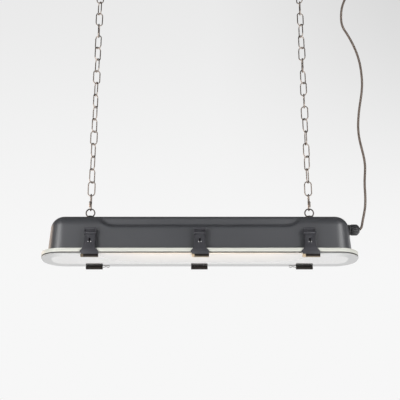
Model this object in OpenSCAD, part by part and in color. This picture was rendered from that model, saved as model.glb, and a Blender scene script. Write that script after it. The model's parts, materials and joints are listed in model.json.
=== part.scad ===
// Linear pendant light: a pressed steel trough with a stepped top, closed below by a
// glass plate that six spring latches hold, hung on two chains from two ceiling hooks.
// The origin lies on the ceiling, midway between the hooks. X runs along the lamp.

/* [Lamp outline] */
// Length of the lamp tube between its caps
tube_l = 580; // [560:5:800]
// Room between the tube's end and the end of the rim
end_room = 60; // [56:1:66]
// Width of the glass and rim
rim_w = 110; // [104:1:130]
// Corner radius of the rim in plan
rim_r = 47.5; // [45:0.5:50]
// Height from the underside of the rim to the ceiling
drop = 720; // [700:1:760]
// Distance between the two chains
chain_span = 495; // [470:1:505]

/* [Housing] */
// How far the rim stands out past the housing's long walls
rim_reach = 13; // [12.5:0.1:14]
// How far the rim stands out past the housing's ends
end_reach = 15; // [13:0.5:17]
// Height of the housing top above the rim's underside
top_h = 92; // [88:0.5:100]
// Sheet thickness of the housing
sheet = 1.5; // [1.2:0.1:1.8]
// Inward lean of the walls, in degrees
taper = 3.8; // [3:0.1:4.5]
// Radius of the domed top edge
dome_r = 25.5; // [22:0.5:27]
// Height of the ledge in the stepped middle
ledge_h = 64.6; // [62:0.1:70]
// Half width of the raised middle above the ledge
step_half = 26; // [25:0.5:29]
// Half length of the stepped middle
step_half_l = 229; // [220:1:232]
// Radius at each end of the step
step_r = 38; // [28:1:40]

/* [Rim and glass] */
// Height of the rubber rim
rim_h = 10.3; // [10:0.1:12]
// Height of the steel flange above the rim's underside
flange_z = 5; // [4:0.1:6]
// How far the flange's edge stays back inside the rim
flange_in = 2; // [1.5:0.1:3]
// How far the rubber covers the edge above the flange
rim_lip_top = 11; // [8:0.5:12]
// How far the rubber reaches inwards under the flange
rim_lip_low = 22; // [18:0.5:24]
// Thickness of the glass
glass_t = 3; // [2.5:0.1:3]

/* [Latches] */
// Distance of the outer latches from the middle one
latch_pitch = 239.5; // [225:0.5:245]
// Width of a lever
lever_w = 23.8; // [23:0.2:27]
// Width of a lever's foot
foot_w = 39.6; // [36:0.2:44]
// Thickness of the lever's steel
lever_t = 1.8; // [1.5:0.1:2]
// Distance of the latch pin from the lamp's middle line
pin_y = 50; // [49.5:0.1:50.5]
// Height of the latch pin above the rim's underside
pin_h = 46; // [45:0.5:48]
// Diameter of the latch pin
pin_d = 3; // [2.6:0.1:3.2]
// Height of the rubber sleeve on the foot's lip
pad_h = 6.7; // [6:0.1:7]
// Depth of the rubber sleeve, from its front to its back
pad_w = 9.6; // [9:0.1:10]
// Length of the rubber sleeve
pad_l = 37.6; // [35:0.2:39]

/* [Chains] */
// Wire diameter of the links
link_wire = 2.6; // [2.2:0.1:2.8]
// Outer width of a link
link_w = 18; // [17.5:0.5:19]
// Distance from one link to the next
link_pitch = 31.7; // [31:0.1:32.4]
// Wire diameter of the quick links
quick_wire = 3; // [2.8:0.1:3.2]
// Outer width of a quick link
quick_w = 15; // [14:0.5:16]
// Inner length of a quick link
quick_pitch = 34.5; // [34:0.1:36]
// Wire diameter of the eye rings
eye_wire = 3; // [2.6:0.1:3.2]
// Outer diameter of the eye rings
eye_d = 22.4; // [21:0.2:24]
// Height of the eye rings' centre above the housing top
eye_lift = 15; // [14:0.2:16]

/* [Ceiling hooks] */
// Diameter of a hook's plate
plate_d = 40; // [38:1:46]
// Thickness of a hook's plate
plate_t = 2.5; // [2:0.1:3]
// Distance between the screw holes of a plate
plate_holes = 28; // [26:0.5:29]
// Diameter of the screw holes in the plates
screw_hole_d = 4.5; // [4:0.1:5]
// Wire diameter of the hooks
hook_wire = 4; // [3.6:0.1:4.4]
// Radius of the hook's bend, to the middle of the wire
hook_r = 9; // [8.5:0.1:10]

/* [Ceiling rose] */
// Distance of the ceiling rose from the lamp's middle
rose_x = 368; // [368:0.5:369]
// Diameter of the ceiling rose
rose_d = 80; // [76:1:84]
// Height of the ceiling rose
rose_h = 23; // [22:0.5:24]
// Wall of the ceiling rose's cover
rose_wall = 1.6; // [1.4:0.1:2.2]
// Distance between the rose's two screw holes
rose_holes = 52; // [48:0.5:54]

/* [Cord and gland] */
// Diameter of the mains cord
cord_d = 5.5; // [5:0.1:5.8]
// How far the cable gland's middle lies below the housing top
gland_drop = 25; // [24:0.5:27]
// Diameter of the gland's nut
gland_nut_d = 25; // [24:0.5:26]
// Diameter of the gland's thread
gland_thread_d = 16; // [15:0.5:16]

/* [Inside] */
// Diameter of the lamp tube
tube_d = 26; // [24:0.5:28]
// Height of the lamp tube's middle above the rim's underside
tube_h = 24; // [23:0.5:25]
// Height of the gear tray above the rim's underside
tray_h = 44; // [43:0.5:46]
// Thickness of the gear tray
tray_t = 1.2; // [1:0.1:1.5]
// How far the gear tray reaches past each end of the tube
tray_over = 22; // [20:0.5:24]
// Length of the driver
driver_l = 150; // [120:5:160]

/* [Hidden] */
$fn = 48;

// Clearances
link_gap = 0.3;
run_gap = 0.05;
side_gap = 0.4;
seat_gap = 0.3;
cut = 1;

// Housing outline, where the wall leaves the flange
rim_l = tube_l + 2 * end_room;
body_l = rim_l - 2 * end_reach;
body_w = rim_w - 2 * rim_reach;
body_r = rim_r - rim_reach;
wall_z = 10;
dome_z = top_h - dome_r;
lean_at_dome = (dome_z - wall_z) * tan(taper);
flange_t = sheet;

// Chain heights above the rim's underside. The chain has as many links as fit below the
// hooks, and the lists of turns repeat where it has more links than they name
eye_h = top_h + eye_lift;
first_joint = eye_h + eye_d / 2 - eye_wire - link_gap / 2;
chain_start = first_joint + quick_pitch;
hook_room = 30;
left_yaws = [-4, 52, -50, 64, -10, 56, -50, 60, -58, 22, -50, 44, -24, 90, 18, -56];
right_yaws = [0, 67, -54, 27, -84, 42, -20, 86, -36, 38, 92, -27, 29, -63, 20, 88];
link_count = floor((drop - hook_room - chain_start) / link_pitch) - 1;
top_yaws = [left_yaws[(link_count - 1) % len(left_yaws)] + 60,
    right_yaws[(link_count - 1) % len(right_yaws)] - 124];
hook_yaws = [top_yaws[0] + 86, top_yaws[1] + 106];
top_joint = chain_start + link_count * link_pitch;
hang_joint = top_joint + link_pitch;
hook_low = hang_joint - link_gap / 2 - hook_wire / 2;

// Latch details
bracket_t = 1.6;
bracket_below = 10;
bracket_above = 10.5;
bracket_reach = 4;
bracket_lip = 4;
bracket_low = pin_h - bracket_below;
bracket_top = pin_h + bracket_above;
bracket_out = pin_y + bracket_reach;
cheek_in = 11.05;
cheek_d = 9;
knuckle_d = 6.4;
knuckle_w = 2 * (cheek_in - side_gap);
lever_top = pin_h - 6.5;
lever_in = rim_w / 2 + 1;
lever_out = lever_in + lever_t;
bend_z = rim_h + 0.7;
flare_z = bend_z + 4.5;
pad_top = -glass_t - seat_gap;
pad_z = pad_top - pad_h / 2;
pad_y = lever_out + 0.6 - pad_w / 2;
pad_shift = -1.1;
lip_in = pad_y - pad_w / 2 + 2.4;
keyhole_h = pin_h - 15;
keyhole_d = 4.6;
slot_w = 2.6;
slot_l = 6.5;
stud_d = 2.2;
stud_x = 3.4;
stud_h = keyhole_h - 6.7;
stud_y = lever_out - (stud_h - bend_z) * (lever_in - pin_y + knuckle_d / 2)
    / (pin_h - bend_z) - 1.2;
rivet_d = 3.2;
rivet_x = 7;
rivet_up = 4;
rivet_l = 10;
rivet_h = bracket_low + rivet_up;

// Inside details
gland_h = top_h - gland_drop;
tray_l = tube_l + 2 * tray_over;
tray_half = 32;
post_x = tube_l / 2 - 90;
post_y = 12;
post_d = 6;
cap_l = 7;
lamp_pin_d = 2.3;
lamp_pin_l = 7;
lamp_pin_y = 6.35;
holder_gap = 0.3;
holder_t = 10;
holder_w = 24;
driver_x = tube_l / 2 - 245;
driver_w = 36;
driver_h = 20;
driver_foot = 8;
foot_t = 1.5;
block_x = tube_l / 2 - 125;
block_l = 30;
block_w = 20;
block_h = 15;
earth_x = tube_l / 2 - 65;

// Bolts, washers and screws
eye_bolt_d = 6;
eye_plate_d = 18.5;
eye_plate_t = 1.2;
eye_hex_d = 16.3;
eye_hex_h = 6.8;
eye_neck_d = 7;
eye_washer_d = 18;
eye_washer_t = 1.6;
eye_nut_d = 11.5;
eye_nut_t = 5;
screw_d = 3;
screw_head_d = 6;
screw_head_t = 2;

// Gland details, measured along X from the housing wall
gland_seat = body_l / 2 - (gland_h - wall_z) * tan(taper) + 2;
gland_flange_t = 4.3;
gland_barrel_d = 18;
gland_barrel_l = 9;
gland_washer_d = 23;
gland_locknut_d = 24;
gland_locknut_t = 5;
gland_tail = 17;
nut_seat = gland_seat - 8;
cord_start = gland_seat + 7;
tail_l = 26;
nut_start = gland_seat + gland_flange_t + 0.3;
nut_len = 22;
nut_swell = 1.2;
nut_dome = 8;
nut_mouth_d = 13;
nut_mouth_l = 6;
lead_d = 1.6;
lead_bend = 6;
lead_spread = 14;
lead_run = 40;
lead_rise = 50;
lead_in = 16;

// Route of the cord, from the gland to the ceiling rose: distance from the lamp's middle
// and height above the rim's underside
LOWER = [[340, 67], [346, 67], [352, 67], [356, 67.2], [359.8, 68.6], [362.6, 71.6],
    [364.4, 75.6], [365.5, 80], [366.3, 84], [368.5, 93], [371, 103], [374, 116], [376.2, 131],
    [377.3, 150], [377.5, 170], [378.4, 187], [380.2, 204], [381.4, 218], [381.2, 232],
    [379.6, 247], [377, 263], [374.4, 278], [372.5, 293], [371.7, 308], [372, 324],
    [373.7, 341], [376.8, 363], [380.8, 384], [385, 406], [387.8, 427], [388.6, 441], [388.6, 446]];
UPPER = [[388.6, 446], [388.6, 451], [388, 468], [385.8, 490], [380.4, 516], [371.5, 543],
    [361, 567], [352.5, 584], [348.6, 600], [348.6, 620], [351.8, 642], [357.4, 659],
    [362.6, 671], [366.4, 680], [367.8, 685], [368, 688.5]];
CORD_SIDES = 10;
route_drop = 720;

function wall_y(z) = body_w / 2 - (z - wall_z) * tan(taper);

// Places its children at the rim's height, so that z = 0 is the rim's underside
module hung() {
    translate([0, 0, -drop]) children();
}

module at_both_ends(x) {
    for (s = [-1, 1]) translate([s * x, 0, 0]) children();
}

module rounded_rect(l, w, r) {
    union() {
        square([l - 2 * r, w], center = true);
        square([l, w - 2 * r], center = true);
        for (sx = [-1, 1], sy = [-1, 1])
            translate([sx * (l / 2 - r), sy * (w / 2 - r)]) circle(r = r, $fn = 96);
    }
}

// Sweeps a section round a rounded rectangle. In the section x is the distance out from
// the outline and y is the height.
module swept_ring(l, w, r) {
    for (sx = [-1, 1], sy = [-1, 1])
        translate([sx * (l / 2 - r), sy * (w / 2 - r), 0])
            rotate([0, 0, 45 * (2 - sx) * sy - 45])
                rotate_extrude(angle = 90, $fn = 96) translate([r, 0]) children();
    for (a = [0, 180])
        rotate([0, 0, a]) {
            translate([-(l / 2 - r), 0, 0]) rotate([90, 0, 90])
                linear_extrude(l - 2 * r) translate([w / 2, 0]) children();
            rotate([90, 0, 0]) linear_extrude(w - 2 * r, center = true)
                translate([l / 2, 0]) children();
        }
}

// Half of the domed cross section, from the middle out to a half width
module half_dome(half, low, inset) {
    top = top_h - inset;
    r = dome_r - inset;
    edge = half - inset;
    flat = edge - lean_at_dome - r;
    low_edge = edge - (low - wall_z) * tan(taper);
    union() {
        polygon([[0, low], [low_edge, low], [flat + r, dome_z], [flat, dome_z],
            [flat, top], [0, top]]);
        intersection() {
            translate([flat, dome_z]) circle(r = r, $fn = 96);
            translate([0, dome_z]) square([half, r + cut]);
        }
    }
}

module full_dome(half, low, inset) {
    half_dome(half, low, inset);
    mirror([1, 0]) half_dome(half, low, inset);
}

// The domed trough as a solid, from the height low up to its top
module trough(low, inset) {
    run_x = body_l - 2 * body_r;
    run_y = body_w - 2 * body_r;
    rotate([90, 0, 90]) linear_extrude(run_x, center = true)
        full_dome(body_w / 2, low, inset);
    rotate([90, 0, 0]) linear_extrude(run_y, center = true)
        full_dome(body_l / 2, low, inset);
    for (i = [0 : 3])
        translate([(i == 0 || i == 3 ? 1 : -1) * run_x / 2, (i < 2 ? 1 : -1) * run_y / 2, 0])
            rotate([0, 0, 90 * i]) rotate_extrude(angle = 90, $fn = 96)
                half_dome(body_r, low, inset);
}

// The block cut from each long side to leave the stepped middle, grown for the inside
module step_cut(grow) {
    half_l = step_half_l + grow;
    r = step_r + grow;
    low = ledge_h - grow;
    for (s = [0, 1]) mirror([0, s, 0])
        translate([0, body_w, 0]) rotate([90, 0, 0])
            linear_extrude(body_w - step_half + grow) union() {
                translate([-half_l, low + r]) square([2 * half_l, top_h]);
                translate([-half_l + r, low]) square([2 * (half_l - r), r + cut]);
                for (t = [-1, 1]) translate([t * (half_l - r), low + r])
                    circle(r = r, $fn = 96);
            }
}

module latch_places(front) {
    for (i = [-1 : 1])
        translate([i * latch_pitch, 0, 0]) mirror([0, front ? 1 : 0, 0]) children();
}

module all_latches() {
    for (f = [false, true]) latch_places(f) children();
}

// Stands its children on the wall's outer face, with z pointing straight out of the wall
module on_wall(x, z) {
    translate([x, wall_y(z), z]) rotate([-90 + taper, 0, 0]) children();
}

module rivet_places() {
    all_latches() for (s = [-1, 1]) on_wall(s * rivet_x, rivet_h) children();
}

module post_places() {
    for (sx = [-1, 1], sy = [-1, 1]) translate([sx * post_x, sy * post_y, 0]) children();
}

module housing() {
    color([0.27, 0.28, 0.3]) hung() difference() {
        union() {
            difference() {
                trough(flange_z, 0);
                step_cut(0);
            }
            translate([0, 0, flange_z]) linear_extrude(flange_t)
                rounded_rect(rim_l - 2 * flange_in, rim_w - 2 * flange_in, rim_r - flange_in);
        }
        difference() {
            trough(flange_z - cut, sheet);
            step_cut(sheet);
        }
        at_both_ends(chain_span / 2) translate([0, 0, top_h - 5])
            cylinder(d = eye_bolt_d + side_gap, h = 10);
        along_gland(gland_seat - gland_tail)
            cylinder(d = gland_thread_d + side_gap / 2, h = 2 * gland_tail);
        rivet_places() translate([0, 0, -rivet_l / 2]) cylinder(d = rivet_d, h = rivet_l);
    }
}

module rim_seal() {
    color([0.93, 0.93, 0.87]) hung() swept_ring(rim_l, rim_w, rim_r) difference() {
        union() {
            translate([-rim_lip_low, 0]) square([rim_lip_low, flange_z]);
            translate([-rim_lip_top, flange_z]) square([rim_lip_top, rim_h - flange_z]);
        }
        translate([-rim_lip_low - cut, flange_z])
            square([rim_lip_low + cut - flange_in, flange_t]);
    }
}

module glass() {
    color([0.86, 0.88, 0.88]) hung() translate([0, 0, -glass_t]) linear_extrude(glass_t)
        rounded_rect(rim_l, rim_w, rim_r);
}

// One closed link: wire diameter, outer width and inner length, standing upright with its
// middle at the origin, in the plane of X and Z
module link(wire, width, inner) {
    r = (width - wire) / 2;
    half = (inner + wire) / 2 - r;
    for (a = [0, 180]) rotate([0, a, 0]) {
        translate([0, 0, half]) rotate([90, 0, 0])
            rotate_extrude(angle = 180, $fn = 48) translate([r, 0])
                circle(d = wire, $fn = 20);
        translate([r, 0, -half]) cylinder(d = wire, h = 2 * half, $fn = 20);
    }
}

module chain(x, yaws) {
    for (i = [0 : link_count - 1])
        translate([x, 0, chain_start + (i + 0.5) * link_pitch])
            rotate([0, 0, yaws[i % len(yaws)]])
                link(link_wire, link_w, link_pitch + link_gap);
}

module left_chain_links() {
    color([0.55, 0.5, 0.46]) hung() chain(-chain_span / 2, left_yaws);
}

module right_chain_links() {
    color([0.55, 0.5, 0.46]) hung() chain(chain_span / 2, right_yaws);
}

module top_link(x, yaw) {
    color([0.55, 0.5, 0.46]) hung() translate([x, 0, top_joint + link_pitch / 2])
        rotate([0, 0, yaw]) link(link_wire, link_w, link_pitch + link_gap);
}

module left_top_link() {
    top_link(-chain_span / 2, top_yaws[0]);
}

module right_top_link() {
    top_link(chain_span / 2, top_yaws[1]);
}

module quick_link(x) {
    color([0.6, 0.56, 0.52]) hung() translate([x, 0, first_joint + quick_pitch / 2])
        rotate([0, 0, 90]) link(quick_wire, quick_w, quick_pitch + link_gap);
}

module left_quick_link() {
    quick_link(-chain_span / 2);
}

module right_quick_link() {
    quick_link(chain_span / 2);
}

// The screwed sleeve that closes a quick link, low on the side towards the front
module quick_nut(x) {
    nut_l = 13;
    bend_h = (quick_w - quick_wire - link_gap) / 2 - quick_wire / 2;
    color([0.6, 0.56, 0.52]) hung()
        translate([x, -(quick_w - quick_wire) / 2, first_joint + bend_h])
            difference() {
                cylinder(d = 6.8, h = nut_l, $fn = 6);
                translate([0, 0, -cut])
                    cylinder(d = quick_wire + run_gap, h = nut_l + 2 * cut, $fn = 20);
            }
}

module left_quick_nut() {
    quick_nut(-chain_span / 2);
}

module right_quick_nut() {
    quick_nut(chain_span / 2);
}

module eye_bolt(x) {
    ring_r = (eye_d - eye_wire) / 2;
    color([0.5, 0.46, 0.43]) hung() translate([x, 0, 0]) union() {
        translate([0, 0, eye_h]) rotate([90, 0, 0]) rotate_extrude(angle = 360, $fn = 64)
            translate([ring_r, 0]) circle(d = eye_wire, $fn = 20);
        translate([0, 0, top_h]) cylinder(d = eye_plate_d, h = eye_plate_t);
        translate([0, 0, top_h]) cylinder(d = eye_hex_d, h = eye_hex_h, $fn = 6);
        translate([0, 0, top_h]) cylinder(d = eye_neck_d, h = eye_lift - ring_r + eye_wire);
        translate([0, 0, top_h - 12]) cylinder(d = eye_bolt_d, h = 13);
    }
}

module left_eye_bolt() {
    eye_bolt(-chain_span / 2);
}

module right_eye_bolt() {
    eye_bolt(chain_span / 2);
}

module eye_washers() {
    color([0.75, 0.75, 0.76]) hung() at_both_ends(chain_span / 2)
        translate([0, 0, top_h - sheet - eye_washer_t]) difference() {
            cylinder(d = eye_washer_d, h = eye_washer_t);
            translate([0, 0, -cut]) cylinder(d = eye_bolt_d, h = eye_washer_t + 2 * cut);
        }
}

module eye_nuts() {
    color([0.75, 0.75, 0.76]) hung() at_both_ends(chain_span / 2)
        translate([0, 0, top_h - sheet - eye_washer_t - eye_nut_t]) difference() {
            cylinder(d = eye_nut_d, h = eye_nut_t, $fn = 6);
            translate([0, 0, -cut]) cylinder(d = eye_bolt_d, h = eye_nut_t + 2 * cut);
        }
}

// Folded steel bracket: a foot on the wall, a top with a turned-down lip, two cheeks
module bracket() {
    module side(w) {
        rotate([90, 0, 90]) linear_extrude(w, center = true) children();
    }
    difference() {
        union() {
            side(2 * cheek_in + 2 * bracket_t) {
                polygon([[wall_y(bracket_low), bracket_low],
                    [wall_y(bracket_low) + bracket_t, bracket_low],
                    [wall_y(bracket_top) + bracket_t, bracket_top],
                    [wall_y(bracket_top), bracket_top]]);
                polygon([[wall_y(bracket_top - bracket_t), bracket_top - bracket_t],
                    [bracket_out, bracket_top - bracket_t], [bracket_out, bracket_top],
                    [wall_y(bracket_top), bracket_top]]);
                translate([bracket_out - bracket_t, bracket_top - bracket_lip])
                    square([bracket_t, bracket_lip]);
            }
            for (s = [-1, 1]) translate([s * (cheek_in + bracket_t / 2), 0, 0])
                side(bracket_t) {
                    translate([pin_y, pin_h]) circle(d = cheek_d);
                    polygon([[wall_y(pin_h - cheek_d / 2), pin_h - cheek_d / 2],
                        [pin_y, pin_h - cheek_d / 2],
                        [bracket_out, pin_h], [bracket_out, bracket_top],
                        [wall_y(bracket_top), bracket_top]]);
                }
        }
        translate([0, pin_y, pin_h]) rotate([0, 90, 0])
            cylinder(d = pin_d, h = lever_w + foot_w, center = true, $fn = 24);
        for (s = [-1, 1]) on_wall(s * rivet_x, rivet_h) translate([0, 0, -cut])
            cylinder(d = rivet_d, h = rivet_l, $fn = 24);
    }
}

module latch_brackets() {
    color([0.24, 0.25, 0.27]) hung() all_latches() bracket();
}

module bracket_rivets() {
    color([0.24, 0.25, 0.27]) hung() rivet_places() union() {
        translate([0, 0, -sheet - 1]) cylinder(d = 5.5, h = 1);
        translate([0, 0, -sheet - 1]) cylinder(d = rivet_d, h = sheet + bracket_t + 1.5);
        translate([0, 0, bracket_t]) cylinder(d1 = 6, d2 = 4.4, h = 1);
    }
}

module latch_pins() {
    half = cheek_in + bracket_t;
    color([0.24, 0.25, 0.27]) hung() all_latches()
        translate([0, pin_y, pin_h]) rotate([0, 90, 0]) union() {
            cylinder(d = pin_d, h = 2 * half + 1.2, center = true, $fn = 24);
            translate([0, 0, half]) cylinder(d = pin_d + 1.8, h = 1.2, $fn = 24);
        }
}

// A lever seen from the side: its plate hangs behind the rolled knuckle, leans out and
// drops past the rim, and its lip turns in below the glass
module lever_plate(w) {
    rotate([90, 0, 90]) linear_extrude(w, center = true)
        polygon([[pin_y - knuckle_d / 2, pin_h], [pin_y - knuckle_d / 2 + lever_t, pin_h],
            [lever_out, bend_z], [lever_out, -1], [lever_out - 0.8, pad_top - 1.4],
            [lever_out - 0.8, pad_z - lever_t / 2], [lip_in, pad_z - lever_t / 2],
            [lip_in, pad_z + lever_t / 2], [lever_in - 0.6, pad_z + lever_t / 2],
            [lever_in - 0.6, pad_top - 1.4], [lever_in, -1.4], [lever_in, bend_z]]);
}

// What is cut off a lever, seen from the front: beside the neck, beside the plate down to
// the flare, and a long and a short corner of the foot
module lever_trim() {
    foot_top = 3.2;
    waist_z = (flare_z + foot_top) / 2 - 1.2;
    low = 2 * pad_top - pad_h;
    translate([0, rim_w, 0]) rotate([90, 0, 0]) linear_extrude(rim_w) {
        for (s = [-1, 1]) {
            polygon([[s * knuckle_w / 2, lever_top], [s * foot_w, lever_top],
                [s * foot_w, top_h], [s * knuckle_w / 2, top_h]]);
            polygon([[s * lever_w / 2, flare_z], [s * (lever_w / 2 + 3.3), waist_z],
                [s * foot_w / 2, foot_top], [s * foot_w, foot_top],
                [s * foot_w, lever_top], [s * lever_w / 2, lever_top]]);
        }
        polygon([[foot_w / 2, 1.5], [foot_w / 2 - 4.3, pad_top - 1.4],
            [foot_w / 2 - 4.3, low], [foot_w, low], [foot_w, 1.5]]);
        polygon([[-foot_w / 2, pad_z + 2], [1.2 - foot_w / 2, pad_z + 1],
            [1.2 - foot_w / 2, low], [-foot_w, low], [-foot_w, pad_z + 2]]);
    }
}

module lever() {
    color([0.25, 0.26, 0.28]) hung() difference() {
        union() {
            difference() {
                lever_plate(foot_w);
                lever_trim();
            }
            translate([0, pin_y, pin_h]) rotate([0, 90, 0])
                cylinder(d = knuckle_d, h = knuckle_w, center = true, $fn = 32);
            for (s = [-1, 1]) translate([s * stud_x, stud_y, stud_h]) rotate([-90, 0, 0])
                cylinder(d = stud_d, h = 1.8, $fn = 24);
        }
        translate([0, pin_y, pin_h]) rotate([0, 90, 0])
            cylinder(d = pin_d + 2 * run_gap, h = foot_w, center = true, $fn = 24);
        translate([0, rim_w, keyhole_h]) rotate([90, 0, 0])
            cylinder(d = keyhole_d, h = rim_w, $fn = 32);
        translate([-slot_w / 2, pin_y - 5, keyhole_h - slot_l - 1.5])
            cube([slot_w, 20, slot_l]);
    }
}

// Rubber sleeve on the lever's lip, which presses the glass up
module pad() {
    color([0.1, 0.09, 0.09]) hung() difference() {
        translate([pad_shift, pad_y, pad_z]) rotate([90, 0, 90])
            linear_extrude(pad_l, center = true)
                rounded_rect(pad_w, pad_h, pad_h / 2 - 0.05);
        difference() {
            lever_plate(foot_w);
            lever_trim();
        }
    }
}

// The front latches are the rear ones, turned round
module at_latch(i, front) {
    translate([i * latch_pitch, 0, 0]) rotate([0, 0, front ? 180 : 0]) children();
}

module gear_tray() {
    skirt = tray_h - 9.4;
    color([0.9, 0.9, 0.88]) hung() difference() {
        rotate([90, 0, 90]) linear_extrude(tray_l, center = true)
            polygon([[-tray_half, tray_h + tray_t], [tray_half, tray_h + tray_t],
                [tray_half + 3, skirt], [tray_half + 2, skirt], [tray_half - 1, tray_h],
                [1 - tray_half, tray_h], [-tray_half - 2, skirt], [-tray_half - 3, skirt]]);
        post_places() translate([0, 0, tray_h - cut]) cylinder(d = screw_d + side_gap, h = 5);
        driver_screw_places() translate([0, 0, -cut]) cylinder(d = screw_d, h = 5);
    }
}

module tray_posts() {
    low = tray_h + tray_t;
    color([0.75, 0.75, 0.76]) hung() post_places() translate([0, 0, low])
        difference() {
            cylinder(d = post_d, h = top_h - sheet - low);
            translate([0, 0, -cut]) cylinder(d = screw_d, h = 13);
        }
}

module tray_screws() {
    color([0.75, 0.75, 0.76]) hung() post_places() union() {
        translate([0, 0, tray_h - screw_head_t])
            cylinder(d1 = screw_head_d - 1.4, d2 = screw_head_d, h = screw_head_t);
        translate([0, 0, tray_h - 1]) cylinder(d = screw_d, h = tray_t + 10);
    }
}

holder_x = tube_l / 2 + cap_l + holder_gap;

module lampholder(s) {
    top = tray_h;
    low = tube_h - tube_d / 2;
    color([0.95, 0.95, 0.93]) hung() mirror([s < 0 ? 1 : 0, 0, 0]) difference() {
        translate([holder_x, 0, 0]) rotate([90, 0, 90]) linear_extrude(holder_t) union() {
            translate([0, tube_h]) circle(d = holder_w);
            translate([-holder_w / 2, tube_h]) square([holder_w, top - tube_h]);
        }
        for (t = [-1, 1]) translate([holder_x - cut, t * lamp_pin_y, tube_h])
            rotate([0, 90, 0]) cylinder(d = lamp_pin_d + 0.3, h = lamp_pin_l + cut + 0.5);
    }
}

module left_lampholder() {
    lampholder(-1);
}

module right_lampholder() {
    lampholder(1);
}

module lamp_tube() {
    color([0.97, 0.97, 0.94]) hung() translate([0, 0, tube_h]) rotate([0, 90, 0])
        difference() {
            cylinder(d = tube_d, h = tube_l, center = true);
            cylinder(d = tube_d - 1.6, h = tube_l + cut, center = true);
        }
}

module tube_caps() {
    color([0.8, 0.8, 0.8]) hung() for (s = [0, 1]) mirror([s, 0, 0])
        translate([tube_l / 2, 0, tube_h]) rotate([0, 90, 0]) union() {
            cylinder(d = tube_d, h = cap_l);
            for (t = [-1, 1]) translate([0, t * lamp_pin_y, cap_l - cut])
                cylinder(d = lamp_pin_d, h = lamp_pin_l + cut);
        }
}

// Stands its children on the tray's underside, at the driver's two screws
module driver_screw_places() {
    translate([driver_x, 0, tray_h]) at_both_ends(driver_l / 2 + driver_foot / 2) children();
}

module driver() {
    low = tray_h + tray_t;
    color([0.93, 0.93, 0.93]) hung() difference() {
        translate([driver_x, 0, low]) union() {
            translate([0, 0, driver_h / 2]) rotate([90, 0, 90])
                linear_extrude(driver_l, center = true)
                    rounded_rect(driver_w, driver_h, 3);
            translate([-driver_l / 2 - driver_foot, -driver_w / 2, 0])
                cube([driver_l + 2 * driver_foot, driver_w, foot_t]);
        }
        driver_screw_places() cylinder(d = screw_d + side_gap, h = 5);
    }
}

module driver_screws() {
    color([0.75, 0.75, 0.76]) hung() driver_screw_places() union() {
        translate([0, 0, tray_t + foot_t])
            cylinder(d1 = screw_head_d, d2 = screw_head_d - 1.4, h = screw_head_t);
        translate([0, 0, -2]) cylinder(d = screw_d, h = tray_t + foot_t + 3);
    }
}

module terminal_block() {
    color([0.93, 0.93, 0.93]) hung() translate([block_x, 0, tray_h + tray_t])
        difference() {
            translate([0, 0, block_h / 2]) cube([block_l, block_w, block_h], center = true);
            for (i = [-1 : 1]) {
                translate([0, i * 6, block_h - 8]) cylinder(d = 3.4, h = 10);
                translate([-block_l / 2 - cut, i * 6, 7]) rotate([0, 90, 0])
                    cylinder(d = 2.8, h = block_l + 2 * cut);
            }
        }
}

module earth_stud() {
    color([0.82, 0.68, 0.35]) hung() translate([earth_x, 0, tray_h + tray_t]) union() {
        cylinder(d = 4, h = 10);
        cylinder(d = 9, h = 1);
        translate([0, 0, 1]) cylinder(d = 8, h = 3.2, $fn = 6);
    }
}

module along_gland(x) {
    translate([x, 0, gland_h]) rotate([0, 90, 0]) children();
}

// Rubber washers on both sides of the end wall, cut to its curve
module gland_washers() {
    color([0.12, 0.12, 0.12]) hung() difference() {
        union() {
            difference() {
                along_gland(gland_seat - 6) cylinder(d = gland_washer_d, h = 6);
                trough(flange_z, 0);
            }
            intersection() {
                along_gland(nut_seat) cylinder(d = gland_washer_d, h = 8);
                trough(flange_z, sheet);
            }
        }
        along_gland(nut_seat - cut) cylinder(d = gland_thread_d + run_gap, h = 14);
    }
}

module gland_body() {
    color([0.12, 0.12, 0.13]) hung() difference() {
        union() {
            along_gland(gland_seat - gland_tail) cylinder(d = gland_thread_d, h = 20);
            along_gland(gland_seat)
                cylinder(d = gland_nut_d, h = gland_flange_t, $fn = 6);
            along_gland(gland_seat) cylinder(d = gland_barrel_d,
                h = gland_flange_t + gland_barrel_l);
        }
        along_gland(gland_seat - gland_tail - cut) cylinder(d = cord_d + 1, h = 40);
        along_gland(cord_start - 1.5) cylinder(d = 11, h = 20);
    }
}

module gland_locknut() {
    color([0.12, 0.12, 0.13]) hung() along_gland(nut_seat - gland_locknut_t) difference() {
        cylinder(d = gland_locknut_d, h = gland_locknut_t, $fn = 6);
        translate([0, 0, -cut]) cylinder(d = gland_thread_d, h = gland_locknut_t + 2 * cut);
    }
}

module gland_seal() {
    color([0.1, 0.1, 0.1]) hung() along_gland(cord_start - 1.5) difference() {
        cylinder(d = 11, h = 7);
        translate([0, 0, -cut]) cylinder(d = cord_d, h = 12);
    }
}

// Ribbed nut, cut from a ball that rounds its corner at the flange and its domed end, with
// a flared mouth
module gland_nut() {
    ribs = 18;
    bore_d = 9;
    nut_r = gland_nut_d / 2;
    ball_r = nut_r + nut_swell;
    ball_at = nut_len - nut_dome - sqrt(ball_r * ball_r - nut_r * nut_r);
    color([0.12, 0.12, 0.13]) hung() along_gland(nut_start) difference() {
        intersection() {
            cylinder(d = gland_nut_d, h = nut_len, $fn = 72);
            translate([0, 0, ball_at]) sphere(r = ball_r, $fn = 72);
        }
        for (i = [0 : ribs - 1]) rotate([0, 0, i * 360 / ribs])
            translate([nut_r + 0.3, 0, -cut])
                cylinder(d = 1.8, h = nut_len - nut_dome, $fn = 16);
        translate([0, 0, -cut]) cylinder(d = gland_barrel_d, h = gland_barrel_l + cut);
        cylinder(d = bore_d, h = nut_len + 2 * cut);
        translate([0, 0, nut_len - nut_mouth_l])
            cylinder(d1 = bore_d, d2 = nut_mouth_d, h = nut_mouth_l + cut);
    }
}

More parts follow.
